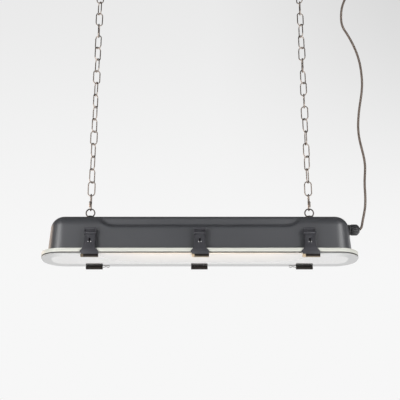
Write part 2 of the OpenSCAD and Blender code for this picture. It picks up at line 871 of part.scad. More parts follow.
module supply_tail() {
    color([0.3, 0.27, 0.25]) hung() along_gland(cord_start - tail_l)
        cylinder(d = cord_d, h = tail_l, $fn = 32);
}

// Smooth curve through chosen points, as points spaced by a count in each stretch
function curve_point(p, i, t) =
    let (n = len(p) - 1,
        a = p[max(i - 1, 0)], b = p[i], c = p[min(i + 1, n)], d = p[min(i + 2, n)])
    0.5 * ((2 * b) + (c - a) * t + (2 * a - 5 * b + 4 * c - d) * t * t
        + (3 * b - a - 3 * c + d) * t * t * t);

function curve(p, steps) = concat(
    [for (i = [0 : len(p) - 2], k = [0 : steps - 1]) curve_point(p, i, k / steps)],
    [p[len(p) - 1]]);

function unit(v) = v / norm(v);

function heading(path, i) =
    unit(path[min(i + 1, len(path) - 1)] - path[max(i - 1, 0)]);

// Tube of one diameter along a path that lies near the plane of X and Z
module tube(path, d, sides) {
    n = len(path);
    points = [for (i = [0 : n - 1])
        let (t = heading(path, i), u = unit(cross([0, 1, 0], t)), v = cross(t, u))
        for (k = [0 : sides - 1])
            path[i] + d / 2 * (u * cos(360 * k / sides) + v * sin(360 * k / sides))];
    sides_faces = [for (i = [0 : n - 2], k = [0 : sides - 1], h = [0, 1])
        let (a = i * sides + k, b = i * sides + (k + 1) % sides)
        h == 0 ? [a, b, a + sides] : [b, b + sides, a + sides]];
    polyhedron(points, concat([[for (k = [sides - 1 : -1 : 0]) k]], sides_faces,
        [[for (k = [0 : sides - 1]) (n - 1) * sides + k]]));
}

// Moves the route's ends with the gland and with the ceiling rose
function fitted(route) = [for (p = route)
    let (t = (p[1] - LOWER[0][1]) / (UPPER[len(UPPER) - 1][1] - LOWER[0][1]))
    [p[0] + (1 - t) * (cord_start - LOWER[0][0]) + t * (rose_x - UPPER[len(UPPER) - 1][0]),
        0, p[1] + (1 - t) * (gland_h - LOWER[0][1]) + t * (drop - route_drop)]];

module cord_lower() {
    color([0.4, 0.35, 0.31]) hung() tube(fitted(LOWER), cord_d, CORD_SIDES);
}

module cord_upper() {
    color([0.4, 0.35, 0.31]) hung() tube(fitted(UPPER), cord_d, CORD_SIDES);
}

// Three leads from the end of the supply cord to the terminal block
module inner_leads() {
    x0 = cord_start - tail_l;
    x1 = block_x + block_l / 2;
    z1 = tray_h + tray_t + 7;
    colors = [[0.35, 0.2, 0.12], [0.2, 0.3, 0.7], [0.35, 0.6, 0.2]];
    hung() for (i = [-1 : 1]) color(colors[i + 1])
        tube(curve([[x0, i * 1.85, gland_h], [x0 - lead_bend, i * 1.9, gland_h],
            [x0 - lead_spread, i * 2.2, gland_h], [x0 - lead_run, i * 4, gland_h - 2],
            [x1 + lead_rise, i * 6, z1 + 8], [x1 + lead_in, i * 6, z1],
            [x1 + lead_bend, i * 6, z1], [x1 - lead_bend, i * 6, z1]], 2), lead_d, 8);
}

// Thin wire spring that runs in from an outer rear foot, just below the glass
module wire(s) {
    wire_d = 1.4;
    inner_end = pad_l / 2 - s * pad_shift;
    color([0.6, 0.6, 0.6]) hung() mirror([s < 0 ? 1 : 0, 0, 0])
        translate([latch_pitch - inner_end, pad_y, pad_top - wire_d / 2])
            tube(curve([[0, 0, -1.4], [-1, 0, -1.4], [-2.5, 0, -1.4], [-8, 0, -0.2],
                [-13, 0, -1.6], [-16, 0, 0]], 2), wire_d, 8);
}

module hook_plate(x) {
    color([0.16, 0.16, 0.17]) translate([x, 0, -plate_t]) difference() {
        cylinder(d = plate_d, h = plate_t, $fn = 64);
        for (s = [-1, 1]) translate([0, s * plate_holes / 2, -cut])
            cylinder(d = screw_hole_d, h = plate_t + 2 * cut, $fn = 32);
        translate([0, 0, -cut]) cylinder(d = hook_wire, h = plate_t + 2 * cut, $fn = 32);
    }
}

module left_hook_plate() {
    hook_plate(-chain_span / 2);
}

module right_hook_plate() {
    hook_plate(chain_span / 2);
}

// Open hook: three quarters of a ring below a straight shank that ends in the plate
module ceiling_hook(x, yaw) {
    mid = hook_low + hook_r - drop;
    color([0.16, 0.16, 0.17]) translate([x, 0, 0]) rotate([0, 0, yaw]) union() {
        translate([0, 0, mid]) rotate([90, 90, 0]) rotate_extrude(angle = 265, $fn = 64)
            translate([hook_r, 0]) circle(d = hook_wire, $fn = 24);
        translate([0, 0, mid + hook_r]) sphere(d = hook_wire + 1.2, $fn = 32);
        translate([0, 0, mid + hook_r]) cylinder(d = hook_wire, h = -mid - hook_r, $fn = 32);
    }
}

module left_ceiling_hook() {
    ceiling_hook(-chain_span / 2, hook_yaws[0]);
}

module right_ceiling_hook() {
    ceiling_hook(chain_span / 2, hook_yaws[1]);
}

rose_base_t = 3;
rose_tab = 8;
rose_tab_w = 12;
rose_tab_h = 12;
rose_entry_y = 20;
rose_entry_d = 12;

module rose_base() {
    in = rose_d / 2 - rose_wall - run_gap;
    color([0.2, 0.2, 0.21]) translate([rose_x, 0, 0]) difference() {
        union() {
            translate([0, 0, -rose_base_t]) cylinder(r = in, h = rose_base_t, $fn = 96);
            for (s = [-1, 1]) intersection() {
                translate([-rose_tab_w / 2, s > 0 ? in - rose_tab : -in, -rose_tab_h])
                    cube([rose_tab_w, rose_tab, rose_tab_h - rose_base_t]);
                translate([0, 0, -14]) cylinder(r = in, h = 14, $fn = 96);
            }
        }
        for (s = [-1, 1]) translate([s * rose_holes / 2, 0, -rose_base_t - cut])
            cylinder(d = screw_hole_d, h = rose_base_t + 2 * cut, $fn = 32);
        translate([0, rose_entry_y, -rose_base_t - cut])
            cylinder(d = rose_entry_d, h = rose_base_t + 2 * cut);
        rose_screw_places() cylinder(d = screw_d, h = rose_d / 2, center = true, $fn = 24);
    }
}

module rose_screw_places() {
    for (s = [-1, 1]) translate([0, s * rose_d / 2, -7.5]) rotate([-90 * s, 0, 0])
        children();
}

module rose_cover() {
    r = 4;
    color([0.27, 0.28, 0.3]) translate([rose_x, 0, -rose_h]) difference() {
        rotate_extrude(angle = 360, $fn = 96) union() {
            square([rose_d / 2 - r, rose_h]);
            translate([0, r]) square([rose_d / 2, rose_h - r]);
            translate([rose_d / 2 - r, r]) circle(r = r);
        }
        translate([0, 0, rose_wall]) cylinder(d = rose_d - 2 * rose_wall, h = rose_h, $fn = 96);
        translate([0, 0, -cut]) cylinder(d = 14, h = 10);
        translate([0, 0, rose_h]) rose_screw_places()
            cylinder(d = screw_d, h = 20, center = true, $fn = 24);
    }
}

module rose_screws() {
    color([0.2, 0.2, 0.21]) translate([rose_x, 0, 0]) rose_screw_places() union() {
        translate([0, 0, -7]) cylinder(d = screw_d, h = 8, $fn = 24);
        cylinder(d1 = 5.6, d2 = 4.4, h = 1.8, $fn = 32);
    }
}

module rose_terminal_block() {
    color([0.93, 0.93, 0.93]) translate([rose_x - 2, -14, -rose_base_t - 11])
        difference() {
            translate([-14, -7, 0]) cube([28, 14, 11]);
            for (i = [-1 : 1]) translate([i * 8.5, 0, 5]) {
                rotate([90, 0, 0]) cylinder(d = 2.8, h = 20, center = true, $fn = 24);
                translate([0, 0, -8]) cylinder(d = 3.2, h = 8, $fn = 24);
            }
        }
}

// Bell-mouthed outlet of the rose, with a shoulder on each side of the cover
module rose_cord_grip() {
    neck = 14;
    mouth = 6.5;
    bore = cord_d + 2 * seat_gap;
    color([0.12, 0.12, 0.13]) translate([rose_x, 0, -rose_h]) difference() {
        union() {
            translate([0, 0, -neck]) cylinder(d = 16, h = neck - 1);
            translate([0, 0, -2]) cylinder(d = 19, h = 2);
            translate([0, 0, -2]) cylinder(d = 14, h = 2 + rose_wall + 1);
            translate([0, 0, rose_wall]) cylinder(d = 19, h = 4, $fn = 6);
        }
        translate([0, 0, -neck - cut]) cylinder(d = bore, h = 30);
        translate([0, 0, -neck - 0.5]) cylinder(d1 = 14.4, d2 = bore, h = mouth + 0.5);
    }
}

left_hook_plate();
right_hook_plate();
left_ceiling_hook();
right_ceiling_hook();
rose_base();
rose_cover();
rose_screws();
rose_terminal_block();
rose_cord_grip();
left_top_link();
right_top_link();
left_chain_links();
right_chain_links();
left_quick_link();
right_quick_link();
left_quick_nut();
right_quick_nut();
housing();
rim_seal();
glass();
left_eye_bolt();
right_eye_bolt();
eye_washers();
eye_nuts();
latch_brackets();
bracket_rivets();
latch_pins();
gear_tray();
tray_posts();
tray_screws();
left_lampholder();
right_lampholder();
lamp_tube();
tube_caps();
driver();
driver_screws();
terminal_block();
earth_stud();
gland_washers();
gland_body();
gland_locknut();
gland_seal();
gland_nut();
supply_tail();
inner_leads();
cord_lower();
cord_upper();
at_latch(-1, true) lever();  // front_left_lever
at_latch(0, true) lever();  // front_middle_lever
at_latch(1, true) lever();  // front_right_lever
at_latch(-1, false) lever();  // rear_left_lever
at_latch(0, false) lever();  // rear_middle_lever
at_latch(1, false) lever();  // rear_right_lever
at_latch(-1, true) pad();  // front_left_pad
at_latch(0, true) pad();  // front_middle_pad
at_latch(1, true) pad();  // front_right_pad
at_latch(-1, false) pad();  // rear_left_pad
at_latch(0, false) pad();  // rear_middle_pad
at_latch(1, false) pad();  // rear_right_pad
wire(-1);  // rear_left_wire
wire(1);  // rear_right_wire
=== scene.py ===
# %% [markdown]
# # A linear pendant light
# The lamp is a long pressed-steel trough, closed below by a frosted glass plate. Six
# latches hold the glass against a cream rubber rim, and two chains carry the lamp. The
# frame from the CAD model gives every piece its place, in metres, with the ceiling at
# z = 0. Here the visible pieces get their rounded forms and their finishes.

# %% Set-up
import json
import math

import bpy
import bmesh
import numpy as np
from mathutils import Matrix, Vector

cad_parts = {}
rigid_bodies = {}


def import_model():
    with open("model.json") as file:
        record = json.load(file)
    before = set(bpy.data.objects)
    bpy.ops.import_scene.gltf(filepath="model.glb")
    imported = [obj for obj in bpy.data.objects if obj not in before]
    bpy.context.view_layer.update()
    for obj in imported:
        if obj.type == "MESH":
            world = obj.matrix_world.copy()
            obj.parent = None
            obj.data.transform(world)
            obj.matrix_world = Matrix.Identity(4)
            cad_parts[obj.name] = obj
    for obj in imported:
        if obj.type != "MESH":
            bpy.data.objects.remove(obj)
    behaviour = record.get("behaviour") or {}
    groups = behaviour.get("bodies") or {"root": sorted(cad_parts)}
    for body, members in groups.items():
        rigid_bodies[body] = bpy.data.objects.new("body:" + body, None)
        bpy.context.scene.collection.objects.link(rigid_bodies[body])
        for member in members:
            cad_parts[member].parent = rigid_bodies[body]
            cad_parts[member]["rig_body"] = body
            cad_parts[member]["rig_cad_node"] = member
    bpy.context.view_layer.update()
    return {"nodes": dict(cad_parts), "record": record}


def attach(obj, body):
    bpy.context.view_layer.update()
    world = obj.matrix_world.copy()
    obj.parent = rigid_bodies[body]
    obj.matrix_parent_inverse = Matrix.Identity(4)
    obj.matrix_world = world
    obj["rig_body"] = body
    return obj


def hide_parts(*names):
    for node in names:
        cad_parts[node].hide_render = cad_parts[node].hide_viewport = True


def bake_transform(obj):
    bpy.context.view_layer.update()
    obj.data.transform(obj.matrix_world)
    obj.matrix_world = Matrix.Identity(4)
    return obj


for item in list(bpy.data.objects):
    bpy.data.objects.remove(item)
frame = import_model()
nodes = frame["nodes"]
bpy.ops.object.select_all(action="DESELECT")
bpy.context.scene.view_settings.view_transform = "Standard"
print("CAD nodes:", len(nodes))

# %% [markdown]
# Sizes are written in millimetres, and heights are counted from the rim's underside. One
# function turns such points into the scene's metres, another does it for a height.

# %% Sizes
DROP = 720.0
RIM_L, RIM_W, RIM_R = 700.0, 110.0, 47.5
BODY_L, BODY_W, BODY_R = 670.0, 84.0, 34.5
LATCH_X = 239.5
LATCHES = [
    (front, side, x)
    for front in ("front", "rear")
    for side, x in (("left", -LATCH_X), ("middle", 0.0), ("right", LATCH_X))
]


def place(points):
    """Millimetres above the rim's underside to metres below the ceiling."""
    p = np.asarray(points, float) / 1000
    p[..., 2] -= DROP / 1000
    return p


def level(height):
    """The scene's z, in metres, of a height in millimetres above the rim's underside."""
    return (height - DROP) / 1000


print("rim's underside at z =", level(0))

# %% [markdown]
# The camera stands in front of the lamp, 1.8 m away and half a metre below it, and looks
# up. Its lens and tilt were found from the way the chains and feet line up.

# %% Camera
CAMERA_AT = (0.0004, -1.7702, -1.1975)
LOOKS_UP, LENS = 19.186, 74.11
bpy.ops.object.camera_add(location=CAMERA_AT, rotation=(math.radians(90 + LOOKS_UP), 0, 0))
camera = bpy.context.object
camera.data.sensor_width = 36
camera.data.lens = LENS
bpy.context.scene.camera = camera
print("camera at", CAMERA_AT, "with a lens of", LENS, "mm")

# %% [markdown]
# Materials are made from shader nodes. A few helpers keep their recipes short: one adds a
# node, one gives a socket a plain value or a link, and the others make what comes back all
# the time: maths, a range, a mix of colours or of shaders, and a surface point's X, Y, Z.


# %% Node helpers
def node_of(tree, kind, **values):
    """Adds a shader node and sets its sockets by name."""
    n = tree.nodes.new(kind)
    for key, value in values.items():
        n.inputs[key.replace("_", " ")].default_value = value
    return n


def give(tree, socket, value):
    """Links a socket to another node's output, or sets its plain value."""
    if isinstance(value, bpy.types.NodeSocket):
        tree.links.new(value, socket)
    else:
        socket.default_value = value


def maths(tree, operation, *values):
    """A maths node on numbers or on other nodes' outputs."""
    n = tree.nodes.new("ShaderNodeMath")
    n.operation = operation
    for socket, value in zip(n.inputs, values):
        give(tree, socket, value)
    return n.outputs[0]


def ranged(tree, value, low, high, at_low=0.0, at_high=1.0, smooth=False):
    """Runs from at_low to at_high while the value runs from low to high."""
    n = tree.nodes.new("ShaderNodeMapRange")
    if smooth:
        n.interpolation_type = "SMOOTHSTEP"
    keys = ("Value", "From Min", "From Max", "To Min", "To Max")
    for key, number in zip(keys, (value, low, high, at_low, at_high)):
        give(tree, n.inputs[key], number)
    return n.outputs[0]


def mixed(tree, share, first, second):
    """The first colour where the share is 0, the second where it is 1."""
    n = tree.nodes.new("ShaderNodeMix")
    n.data_type = "RGBA"
    for index, value in ((0, share), (6, first), (7, second)):
        give(tree, n.inputs[index], value)
    return n.outputs[2]


def object_point(tree):
    """X, Y and Z of a surface point, in the object's own metres."""
    point = tree.nodes.new("ShaderNodeTexCoord")
    split = tree.nodes.new("ShaderNodeSeparateXYZ")
    tree.links.new(point.outputs["Object"], split.inputs[0])
    return split.outputs


def mixed_shader(tree, share, first, second):
    """Mixes two shaders and sends them to the material's output."""
    n = tree.nodes.new("ShaderNodeMixShader")
    for socket, value in zip(n.inputs, (share, first, second)):
        give(tree, socket, value)
    out = next(o for o in tree.nodes if o.type == "OUTPUT_MATERIAL")
    tree.links.new(n.outputs[0], out.inputs["Surface"])


print("node helpers: ready")

# %% [markdown]
# The studio is a pale floor that sweeps up into a pale wall, whose glow is a little darker
# towards the top and the right, as painted shade. A lit grey wall would change with every
# lamp that is moved. So the camera sees the wall glow in just the colour that is written
# here. In reflections it glows at a fifth of that from just below the lamp upwards, which
# keeps the paint dark, and for all other rays it is a plain matt grey.


# %% Wall finish
# The wall's glow runs from the light colour to the dark one as painted shade, darker towards the
# top and the right.
WALL_LIGHT, WALL_DARK = (0.93, 0.93, 0.93, 1), (0.60, 0.60, 0.60, 1)
DARKER_UP, UP_SHARE = (-0.1, 2.3), 0.35
DARKER_RIGHT, CORNER_SHARE = (0.1, 1.3), 0.4
DIMMER_UP, DIMMED = (-1.25, -0.85), 0.2


def studio_material():
    m = bpy.data.materials.new("studio_wall")
    m.use_nodes = True
    t = m.node_tree
    t.nodes.clear()
    t.nodes.new("ShaderNodeOutputMaterial")
    x, y, z = object_point(t)
    up = ranged(t, z, *DARKER_UP, smooth=True)
    right = ranged(t, x, *DARKER_RIGHT, 0.0, CORNER_SHARE)
    colour = t.nodes.new("ShaderNodeValToRGB")
    colour.color_ramp.elements[0].color = WALL_LIGHT
    colour.color_ramp.elements[1].color = WALL_DARK
    darker = maths(t, "ADD", maths(t, "MULTIPLY", up, UP_SHARE), maths(t, "MULTIPLY", up, right))
    give(t, colour.inputs["Fac"], darker)
    rays = t.nodes.new("ShaderNodeLightPath").outputs
    reflected = ranged(t, z, *DIMMER_UP, 1.0, DIMMED)
    glow = t.nodes.new("ShaderNodeEmission")
    give(t, glow.inputs["Color"], colour.outputs[0])
    give(t, glow.inputs["Strength"], maths(t, "MAXIMUM", reflected, rays["Is Camera Ray"]))
    matt = node_of(t, "ShaderNodeBsdfDiffuse", Color=(0.75, 0.75, 0.75, 1))
    direct = maths(t, "MAXIMUM", rays["Is Camera Ray"], rays["Is Glossy Ray"])
    glowing = maths(t, "MAXIMUM", direct, rays["Is Transmission Ray"])
    mixed_shader(t, glowing, matt.outputs[0], glow.outputs[0])
    return m


WALL = studio_material()
print("wall nodes:", len(WALL.node_tree.nodes))

# %% [markdown]
# The sweep is one plane. Its far edge is extruded upwards to make the wall, and the
# corner between the two is bevelled round, so that no line shows behind the lamp.

# %% Studio
FLOOR_Z, WALL_Y = -2.3, 3.0
STUDIO_W, STUDIO_D, WALL_H = 14, 12, 6
SWEEP_R, SWEEP_STEPS = 0.8, 16
bpy.ops.mesh.primitive_plane_add(size=1, location=(0, 0, FLOOR_Z))
studio = bpy.context.object
studio.name = "studio_sweep"
studio.scale = (STUDIO_W, STUDIO_D, 1)
studio.location.y = WALL_Y - STUDIO_D / 2
bpy.ops.object.transform_apply(location=True, rotation=False, scale=True)


def select_floor_edge(within=0.01):
    """Selects the floor's far edge, in edit mode."""
    mesh = bmesh.from_edit_mesh(studio.data)
    far = max(v.co.y for v in mesh.verts)
    for e in mesh.edges:
        e.select_set(all(v.co.y > far - within and v.co.z < FLOOR_Z + within for v in e.verts))
    bmesh.update_edit_mesh(studio.data)


bpy.ops.object.mode_set(mode="EDIT")
select_floor_edge()
bpy.ops.mesh.extrude_region_move(TRANSFORM_OT_translate={"value": (0, 0, WALL_H)})
select_floor_edge()
bpy.ops.mesh.bevel(offset=SWEEP_R, segments=SWEEP_STEPS, affect="EDGES")
bpy.ops.object.mode_set(mode="OBJECT")
bpy.ops.object.shade_smooth()
studio.data.materials.append(WALL)
print("studio faces:", len(studio.data.polygons))

# %% [markdown]
# The air itself gives soft light from below and from the sides, and hardly any from
# above. The lamps are panels, because a point would leave hard sparks on the paint. Two
# panels stand left and right of the camera. They draw the bright lines on the trough's
# rounded ends and cast the latches' shadows inwards. Two more, higher up, light the domes
# from above, and a weak one fills in from the front. A low one lights the glass, a warm
# one behind the lamp catches the left end, and a weaker one the right end.

# %% Light
AIR_FADES, AIR_BELOW, AIR_ABOVE = (-0.05, 0.3), 0.37, 0.03
world = bpy.data.worlds.new("studio_air")
bpy.context.scene.world = world
world.use_nodes = True
air = world.node_tree
looking = air.nodes.new("ShaderNodeTexCoord")
looking_up = air.nodes.new("ShaderNodeSeparateXYZ")
air.links.new(looking.outputs["Generated"], looking_up.inputs[0])
fade = ranged(air, looking_up.outputs["Z"], *AIR_FADES, AIR_BELOW, AIR_ABOVE)
air.links.new(fade, air.nodes["Background"].inputs["Strength"])
air.nodes["Background"].inputs["Color"].default_value = (1, 1, 1, 1)


def panel(name, at, towards, size, watts, colour=(1, 1, 1)):
    bpy.ops.object.light_add(type="AREA", location=at)
    lamp = bpy.context.object
    lamp.name = name
    lamp.data.shape = "RECTANGLE"
    lamp.data.size, lamp.data.size_y = size
    lamp.data.energy = watts
    lamp.data.color = colour
    aim = Vector(towards) - Vector(at)
    lamp.rotation_euler = aim.to_track_quat("-Z", "Y").to_euler()


LEFT_HALF, RIGHT_HALF = (-0.3, 0, -0.68), (0.3, 0, -0.68)
WARM = (1.0, 0.80, 0.66)
panel("front_panel", (0.0, -2.6, -1.1), (0, 0, -0.66), (2.6, 0.9), 3)
panel("low_panel", (0.0, -0.15, -2.15), (0, 0, -0.7), (2.4, 1.4), 20)
panel("left_panel", (-1.35, -1.5, -1.05), LEFT_HALF, (0.9, 1.2), 21.5)
panel("right_panel", (1.42, -1.4, -1.05), RIGHT_HALF, (1.0, 1.2), 17)
panel("left_strip", (-1.5, -1.4, 0.1), LEFT_HALF, (0.9, 1.0), 10.5)
panel("right_strip", (1.5, -1.4, 0.1), RIGHT_HALF, (0.9, 1.0), 10.5)
panel("warm_panel", (-1.6, 0.9, -0.7), LEFT_HALF, (0.8, 1.4), 14, WARM)
panel("far_panel", (1.6, 0.9, -0.7), RIGHT_HALF, (0.8, 1.4), 5)

# %% [markdown]
# Paint, rubber, plastic and metal all vary a little over a surface, and with one flat
# value each they would look drawn. One node group makes that variation: a broad noise with
# some of a fine one in it shifts the colour and the roughness, and the fine one alone is
# the height of a bump. Each material then sets its own scales and strengths.


# %% Surface variation
FINE_SHARE = 0.35
NOISE_SPAN = (0.3, 0.7)


def variation_group():
    g = bpy.data.node_groups.new("surface_variation", "ShaderNodeTree")
    for name, kind, value in (
        ("Light", "NodeSocketColor", (1, 1, 1, 1)),
        ("Dark", "NodeSocketColor", (0, 0, 0, 1)),
        ("Fine", "NodeSocketFloat", 900.0),
        ("Broad", "NodeSocketFloat", 12.0),
        ("Smooth", "NodeSocketFloat", 0.3),
        ("Rough", "NodeSocketFloat", 0.5),
    ):
        s = g.interface.new_socket(name=name, in_out="INPUT", socket_type=kind)
        s.default_value = value
    for name, kind in (
        ("Colour", "NodeSocketColor"),
        ("Roughness", "NodeSocketFloat"),
        ("Height", "NodeSocketFloat"),
    ):
        g.interface.new_socket(name=name, in_out="OUTPUT", socket_type=kind)
    start = g.nodes.new("NodeGroupInput").outputs
    end = g.nodes.new("NodeGroupOutput").inputs
    where = g.nodes.new("ShaderNodeTexCoord")
    fine = node_of(g, "ShaderNodeTexNoise", Detail=2.0)
    broad = node_of(g, "ShaderNodeTexNoise", Detail=3.0)
    for noise, scale in ((fine, "Fine"), (broad, "Broad")):
        give(g, noise.inputs["Vector"], where.outputs["Object"])
        give(g, noise.inputs["Scale"], start[scale])
    blend = g.nodes.new("ShaderNodeMix")
    blend.data_type = "FLOAT"
    for index, value in ((0, FINE_SHARE), (2, broad.outputs["Fac"]), (3, fine.outputs["Fac"])):
        give(g, blend.inputs[index], value)
    shift = blend.outputs[0]
    give(g, end["Colour"], mixed(g, shift, start["Dark"], start["Light"]))
    give(g, end["Roughness"], ranged(g, shift, *NOISE_SPAN, start["Smooth"], start["Rough"]))
    give(g, end["Height"], fine.outputs["Fac"])
    return g


VARIATION = variation_group()
print("variation nodes:", len(VARIATION.nodes))

# %% [markdown]
# A finish is a Principled shader fed by that group. Some pieces need a zone of another
# colour on top, so a second helper opens a finish that was already made.


# %% Finish helpers
def finish_of(name, light, dark, smooth, rough, fine=900.0, broad=12.0, bump=0.1,
              depth=0.0002, **shader):
    """A material whose colour lies between light and dark, with a fine bump."""
    m = bpy.data.materials.new(name)
    m.use_nodes = True
    t = m.node_tree
    surface = t.nodes["Principled BSDF"]
    group = t.nodes.new("ShaderNodeGroup")
    group.node_tree = VARIATION
    group.inputs["Light"].default_value = (*light, 1)
    group.inputs["Dark"].default_value = (*dark, 1)
    group.inputs["Fine"].default_value = fine
    group.inputs["Broad"].default_value = broad
    group.inputs["Smooth"].default_value = smooth
    group.inputs["Rough"].default_value = rough
    dents = node_of(t, "ShaderNodeBump", Strength=bump, Distance=depth)
    t.links.new(group.outputs["Colour"], surface.inputs["Base Color"])
    t.links.new(group.outputs["Roughness"], surface.inputs["Roughness"])
    t.links.new(group.outputs["Height"], dents.inputs["Height"])
    t.links.new(dents.outputs["Normal"], surface.inputs["Normal"])
    for key, value in shader.items():
        surface.inputs[key.replace("_", " ")].default_value = value
    return m


def opened(material):
    """The node tree of a finish, its shader, and its own varied colour."""
    t = material.node_tree
    group = next(n for n in t.nodes if n.type == "GROUP")
    return t, t.nodes["Principled BSDF"], group.outputs["Colour"]


print("finish helpers: ready")

# %% [markdown]
# The finishes. The housing and its latches have a satin dark grey powder coat with a very
# fine orange peel. The chains are nickel plated and have gone slightly brown, and the eyes
# and the rear wires are of darkened steel. The rim is cream silicone, the sleeves are dark
# rubber, and the gland and the rose's outlet are black nylon. The gear that the housing
# hides has the white enamel, bright zinc and insulation that such gear usually has.

# %% Finishes
GREY = finish_of("grey_powder_coat", (0.040, 0.042, 0.048), (0.034, 0.036, 0.042),
                 0.40, 0.46, fine=1400, broad=9, bump=0.12, depth=0.00008,
                 Specular_IOR_Level=1.0, IOR=1.6)
LATCH_GREY = finish_of("latch_powder_coat", (0.051, 0.051, 0.058), (0.043, 0.043, 0.049),
                       0.40, 0.50, fine=1400, broad=30, bump=0.12, depth=0.00008,
                       Specular_IOR_Level=0.3)
BLACK_PAINT = finish_of("satin_black_paint", (0.035, 0.035, 0.038), (0.022, 0.022, 0.024),
                        0.35, 0.5, fine=1200, broad=25)
CREAM = finish_of("cream_silicone", (0.66, 0.665, 0.61), (0.63, 0.635, 0.58),
                  0.42, 0.55, fine=700, broad=14, bump=0.05)
DARK_RUBBER = finish_of("dark_rubber", (0.018, 0.014, 0.012), (0.009, 0.007, 0.006),
                        0.45, 0.65, fine=1600, broad=40, Specular_IOR_Level=0.15)
NICKEL = finish_of("dull_nickel", (0.37, 0.32, 0.285), (0.23, 0.19, 0.165),
                   0.24, 0.42, fine=500, broad=90, bump=0.08, Metallic=1.0)
EYE_STEEL = finish_of("darkened_steel", (0.17, 0.150, 0.140), (0.09, 0.080, 0.075),
                      0.28, 0.44, fine=500, broad=90, bump=0.08, Metallic=1.0)
# The spring leaf's black is painted shade, so the keyhole looks black.
LEAF_SHADE_BLACK = finish_of("leaf_painted_shade", (0.010, 0.010, 0.011), (0.006, 0.006, 0.007),
                       0.6, 0.7, fine=900, broad=60, Specular_IOR_Level=0.1)
# The studs' near-white colour is a painted highlight.
STUD_HIGHLIGHT = finish_of("studs_painted_highlight", (0.80, 0.80, 0.80), (0.70, 0.70, 0.70),
                       0.3, 0.4, fine=600, broad=60)
ZINC = finish_of("bright_zinc", (0.66, 0.66, 0.67), (0.54, 0.54, 0.56),
                 0.22, 0.4, fine=600, broad=60, Metallic=1.0)
BRASS = finish_of("turned_brass", (0.72, 0.54, 0.26), (0.60, 0.43, 0.19),
                  0.2, 0.36, fine=600, broad=60, Metallic=1.0)
NYLON = finish_of("black_nylon", (0.030, 0.031, 0.034), (0.018, 0.018, 0.020),
                  0.34, 0.50, fine=1500, broad=50, bump=0.1)
WHITE_METAL = finish_of("white_enamel", (0.82, 0.82, 0.80), (0.78, 0.78, 0.76),
                        0.2, 0.3, fine=900, broad=20, bump=0.03)
WHITE_PLASTIC = finish_of("white_plastic", (0.84, 0.84, 0.82), (0.78, 0.78, 0.76),
                          0.35, 0.5, fine=900, broad=30, bump=0.05)
PHOSPHOR = finish_of("white_tube", (0.92, 0.92, 0.89), (0.88, 0.88, 0.85),
                     0.12, 0.2, fine=400, broad=20, bump=0.0)
ALUMINIUM = finish_of("satin_aluminium", (0.78, 0.78, 0.79), (0.70, 0.70, 0.72),
                      0.25, 0.4, fine=600, broad=40, Metallic=1.0)
CORD_END = finish_of("cord_end_textile", (0.155, 0.125, 0.108), (0.10, 0.078, 0.066),
                     0.75, 0.9, fine=1500, broad=120, bump=0.3)
LEADS = finish_of("lead_insulation", (0.34, 0.22, 0.16), (0.24, 0.16, 0.12),
                  0.3, 0.45, fine=900, broad=60)

CAD_FINISH = {
    "black_paint": BLACK_PAINT, "rose_paint": GREY, "grey_paint": GREY,
    "latch_paint": LATCH_GREY, "chain_steel": NICKEL, "zinc_steel": ZINC,
    "rim_rubber": CREAM, "pad_rubber": DARK_RUBBER, "black_nylon": NYLON,
    "black_rubber": DARK_RUBBER, "white_metal": WHITE_METAL,
    "white_plastic": WHITE_PLASTIC, "tube_phosphor": PHOSPHOR,
    "cap_aluminium": ALUMINIUM, "brass": BRASS, "lead_insulation": LEADS,
}
SLOT_OF = {s["node"]: s["material_slot"] for s in frame["record"]["subparts"]}
OWN_FINISH = {"left_eye_bolt": EYE_STEEL, "right_eye_bolt": EYE_STEEL,
              "rear_left_wire": EYE_STEEL, "rear_right_wire": EYE_STEEL,
              "supply_tail": CORD_END}
for name, piece in nodes.items():
    finish = OWN_FINISH.get(name, CAD_FINISH.get(SLOT_OF[name]))
    if finish:
        piece.data.materials.clear()
        piece.data.materials.append(finish)
print("kinds of surface with a finish:", len(CAD_FINISH))

# %% [markdown]
# The glass's border needs to know how far a point lies inside the plate's rounded outline.
# A painted mask would be a picture, so the distance is worked out with maths nodes.


# %% Distance to the outline
def outline_distance(tree, x, y, half_l, half_w, radius):
    """Distance inwards from a rounded rectangle's outline, in metres."""
    past_x = maths(tree, "SUBTRACT", maths(tree, "ABSOLUTE", x), half_l - radius)
    past_y = maths(tree, "SUBTRACT", maths(tree, "ABSOLUTE", y), half_w - radius)
    out_x = maths(tree, "MAXIMUM", past_x, 0.0)
    out_y = maths(tree, "MAXIMUM", past_y, 0.0)
    out = maths(tree, "SQRT", maths(tree, "ADD", maths(tree, "MULTIPLY", out_x, out_x),
                                    maths(tree, "MULTIPLY", out_y, out_y)))
    inside = maths(tree, "MINIMUM", maths(tree, "MAXIMUM", past_x, past_y), 0.0)
    return maths(tree, "SUBTRACT", radius, maths(tree, "ADD", out, inside))


print("distance helper: ready")

# %% [markdown]
# The glass is frosted white with a polished, flat underside and ground edges. Where the
# rubber lies on it less light comes through, so it has a border of painted shade, which
# looks darker the flatter it is looked at. Along the front, between the ends, the border
# is painted as bright as the rest. A painted warm glow grows towards the middle of the
# front edge, and the top of the ground edge has painted shade in the rim's seam. The
# underside also mirrors the room, most of all at a flat angle. A coat's strength follows
# its own angle law, so a glossy shader is mixed in instead, on the underside alone, and its
# share is set for each angle.


# %% Glass finish
UNDERSIDE, SEAM_SHADE_BAND = (level(-2.8), level(-2.95)), (level(-1.0), level(-0.7))
# The border is painted shade, lighter seen steeply and darker seen flat.
BORDER, BORDER_SLANT = (0.020, 0.024), (0.05, 0.20)
SHADE_STEEP, SHADE_FLAT = (0.50, 0.50, 0.47, 1), (0.09, 0.09, 0.09, 1)
LIT_X, LIT_Y = (0.325, 0.295), (0.0, -0.012)
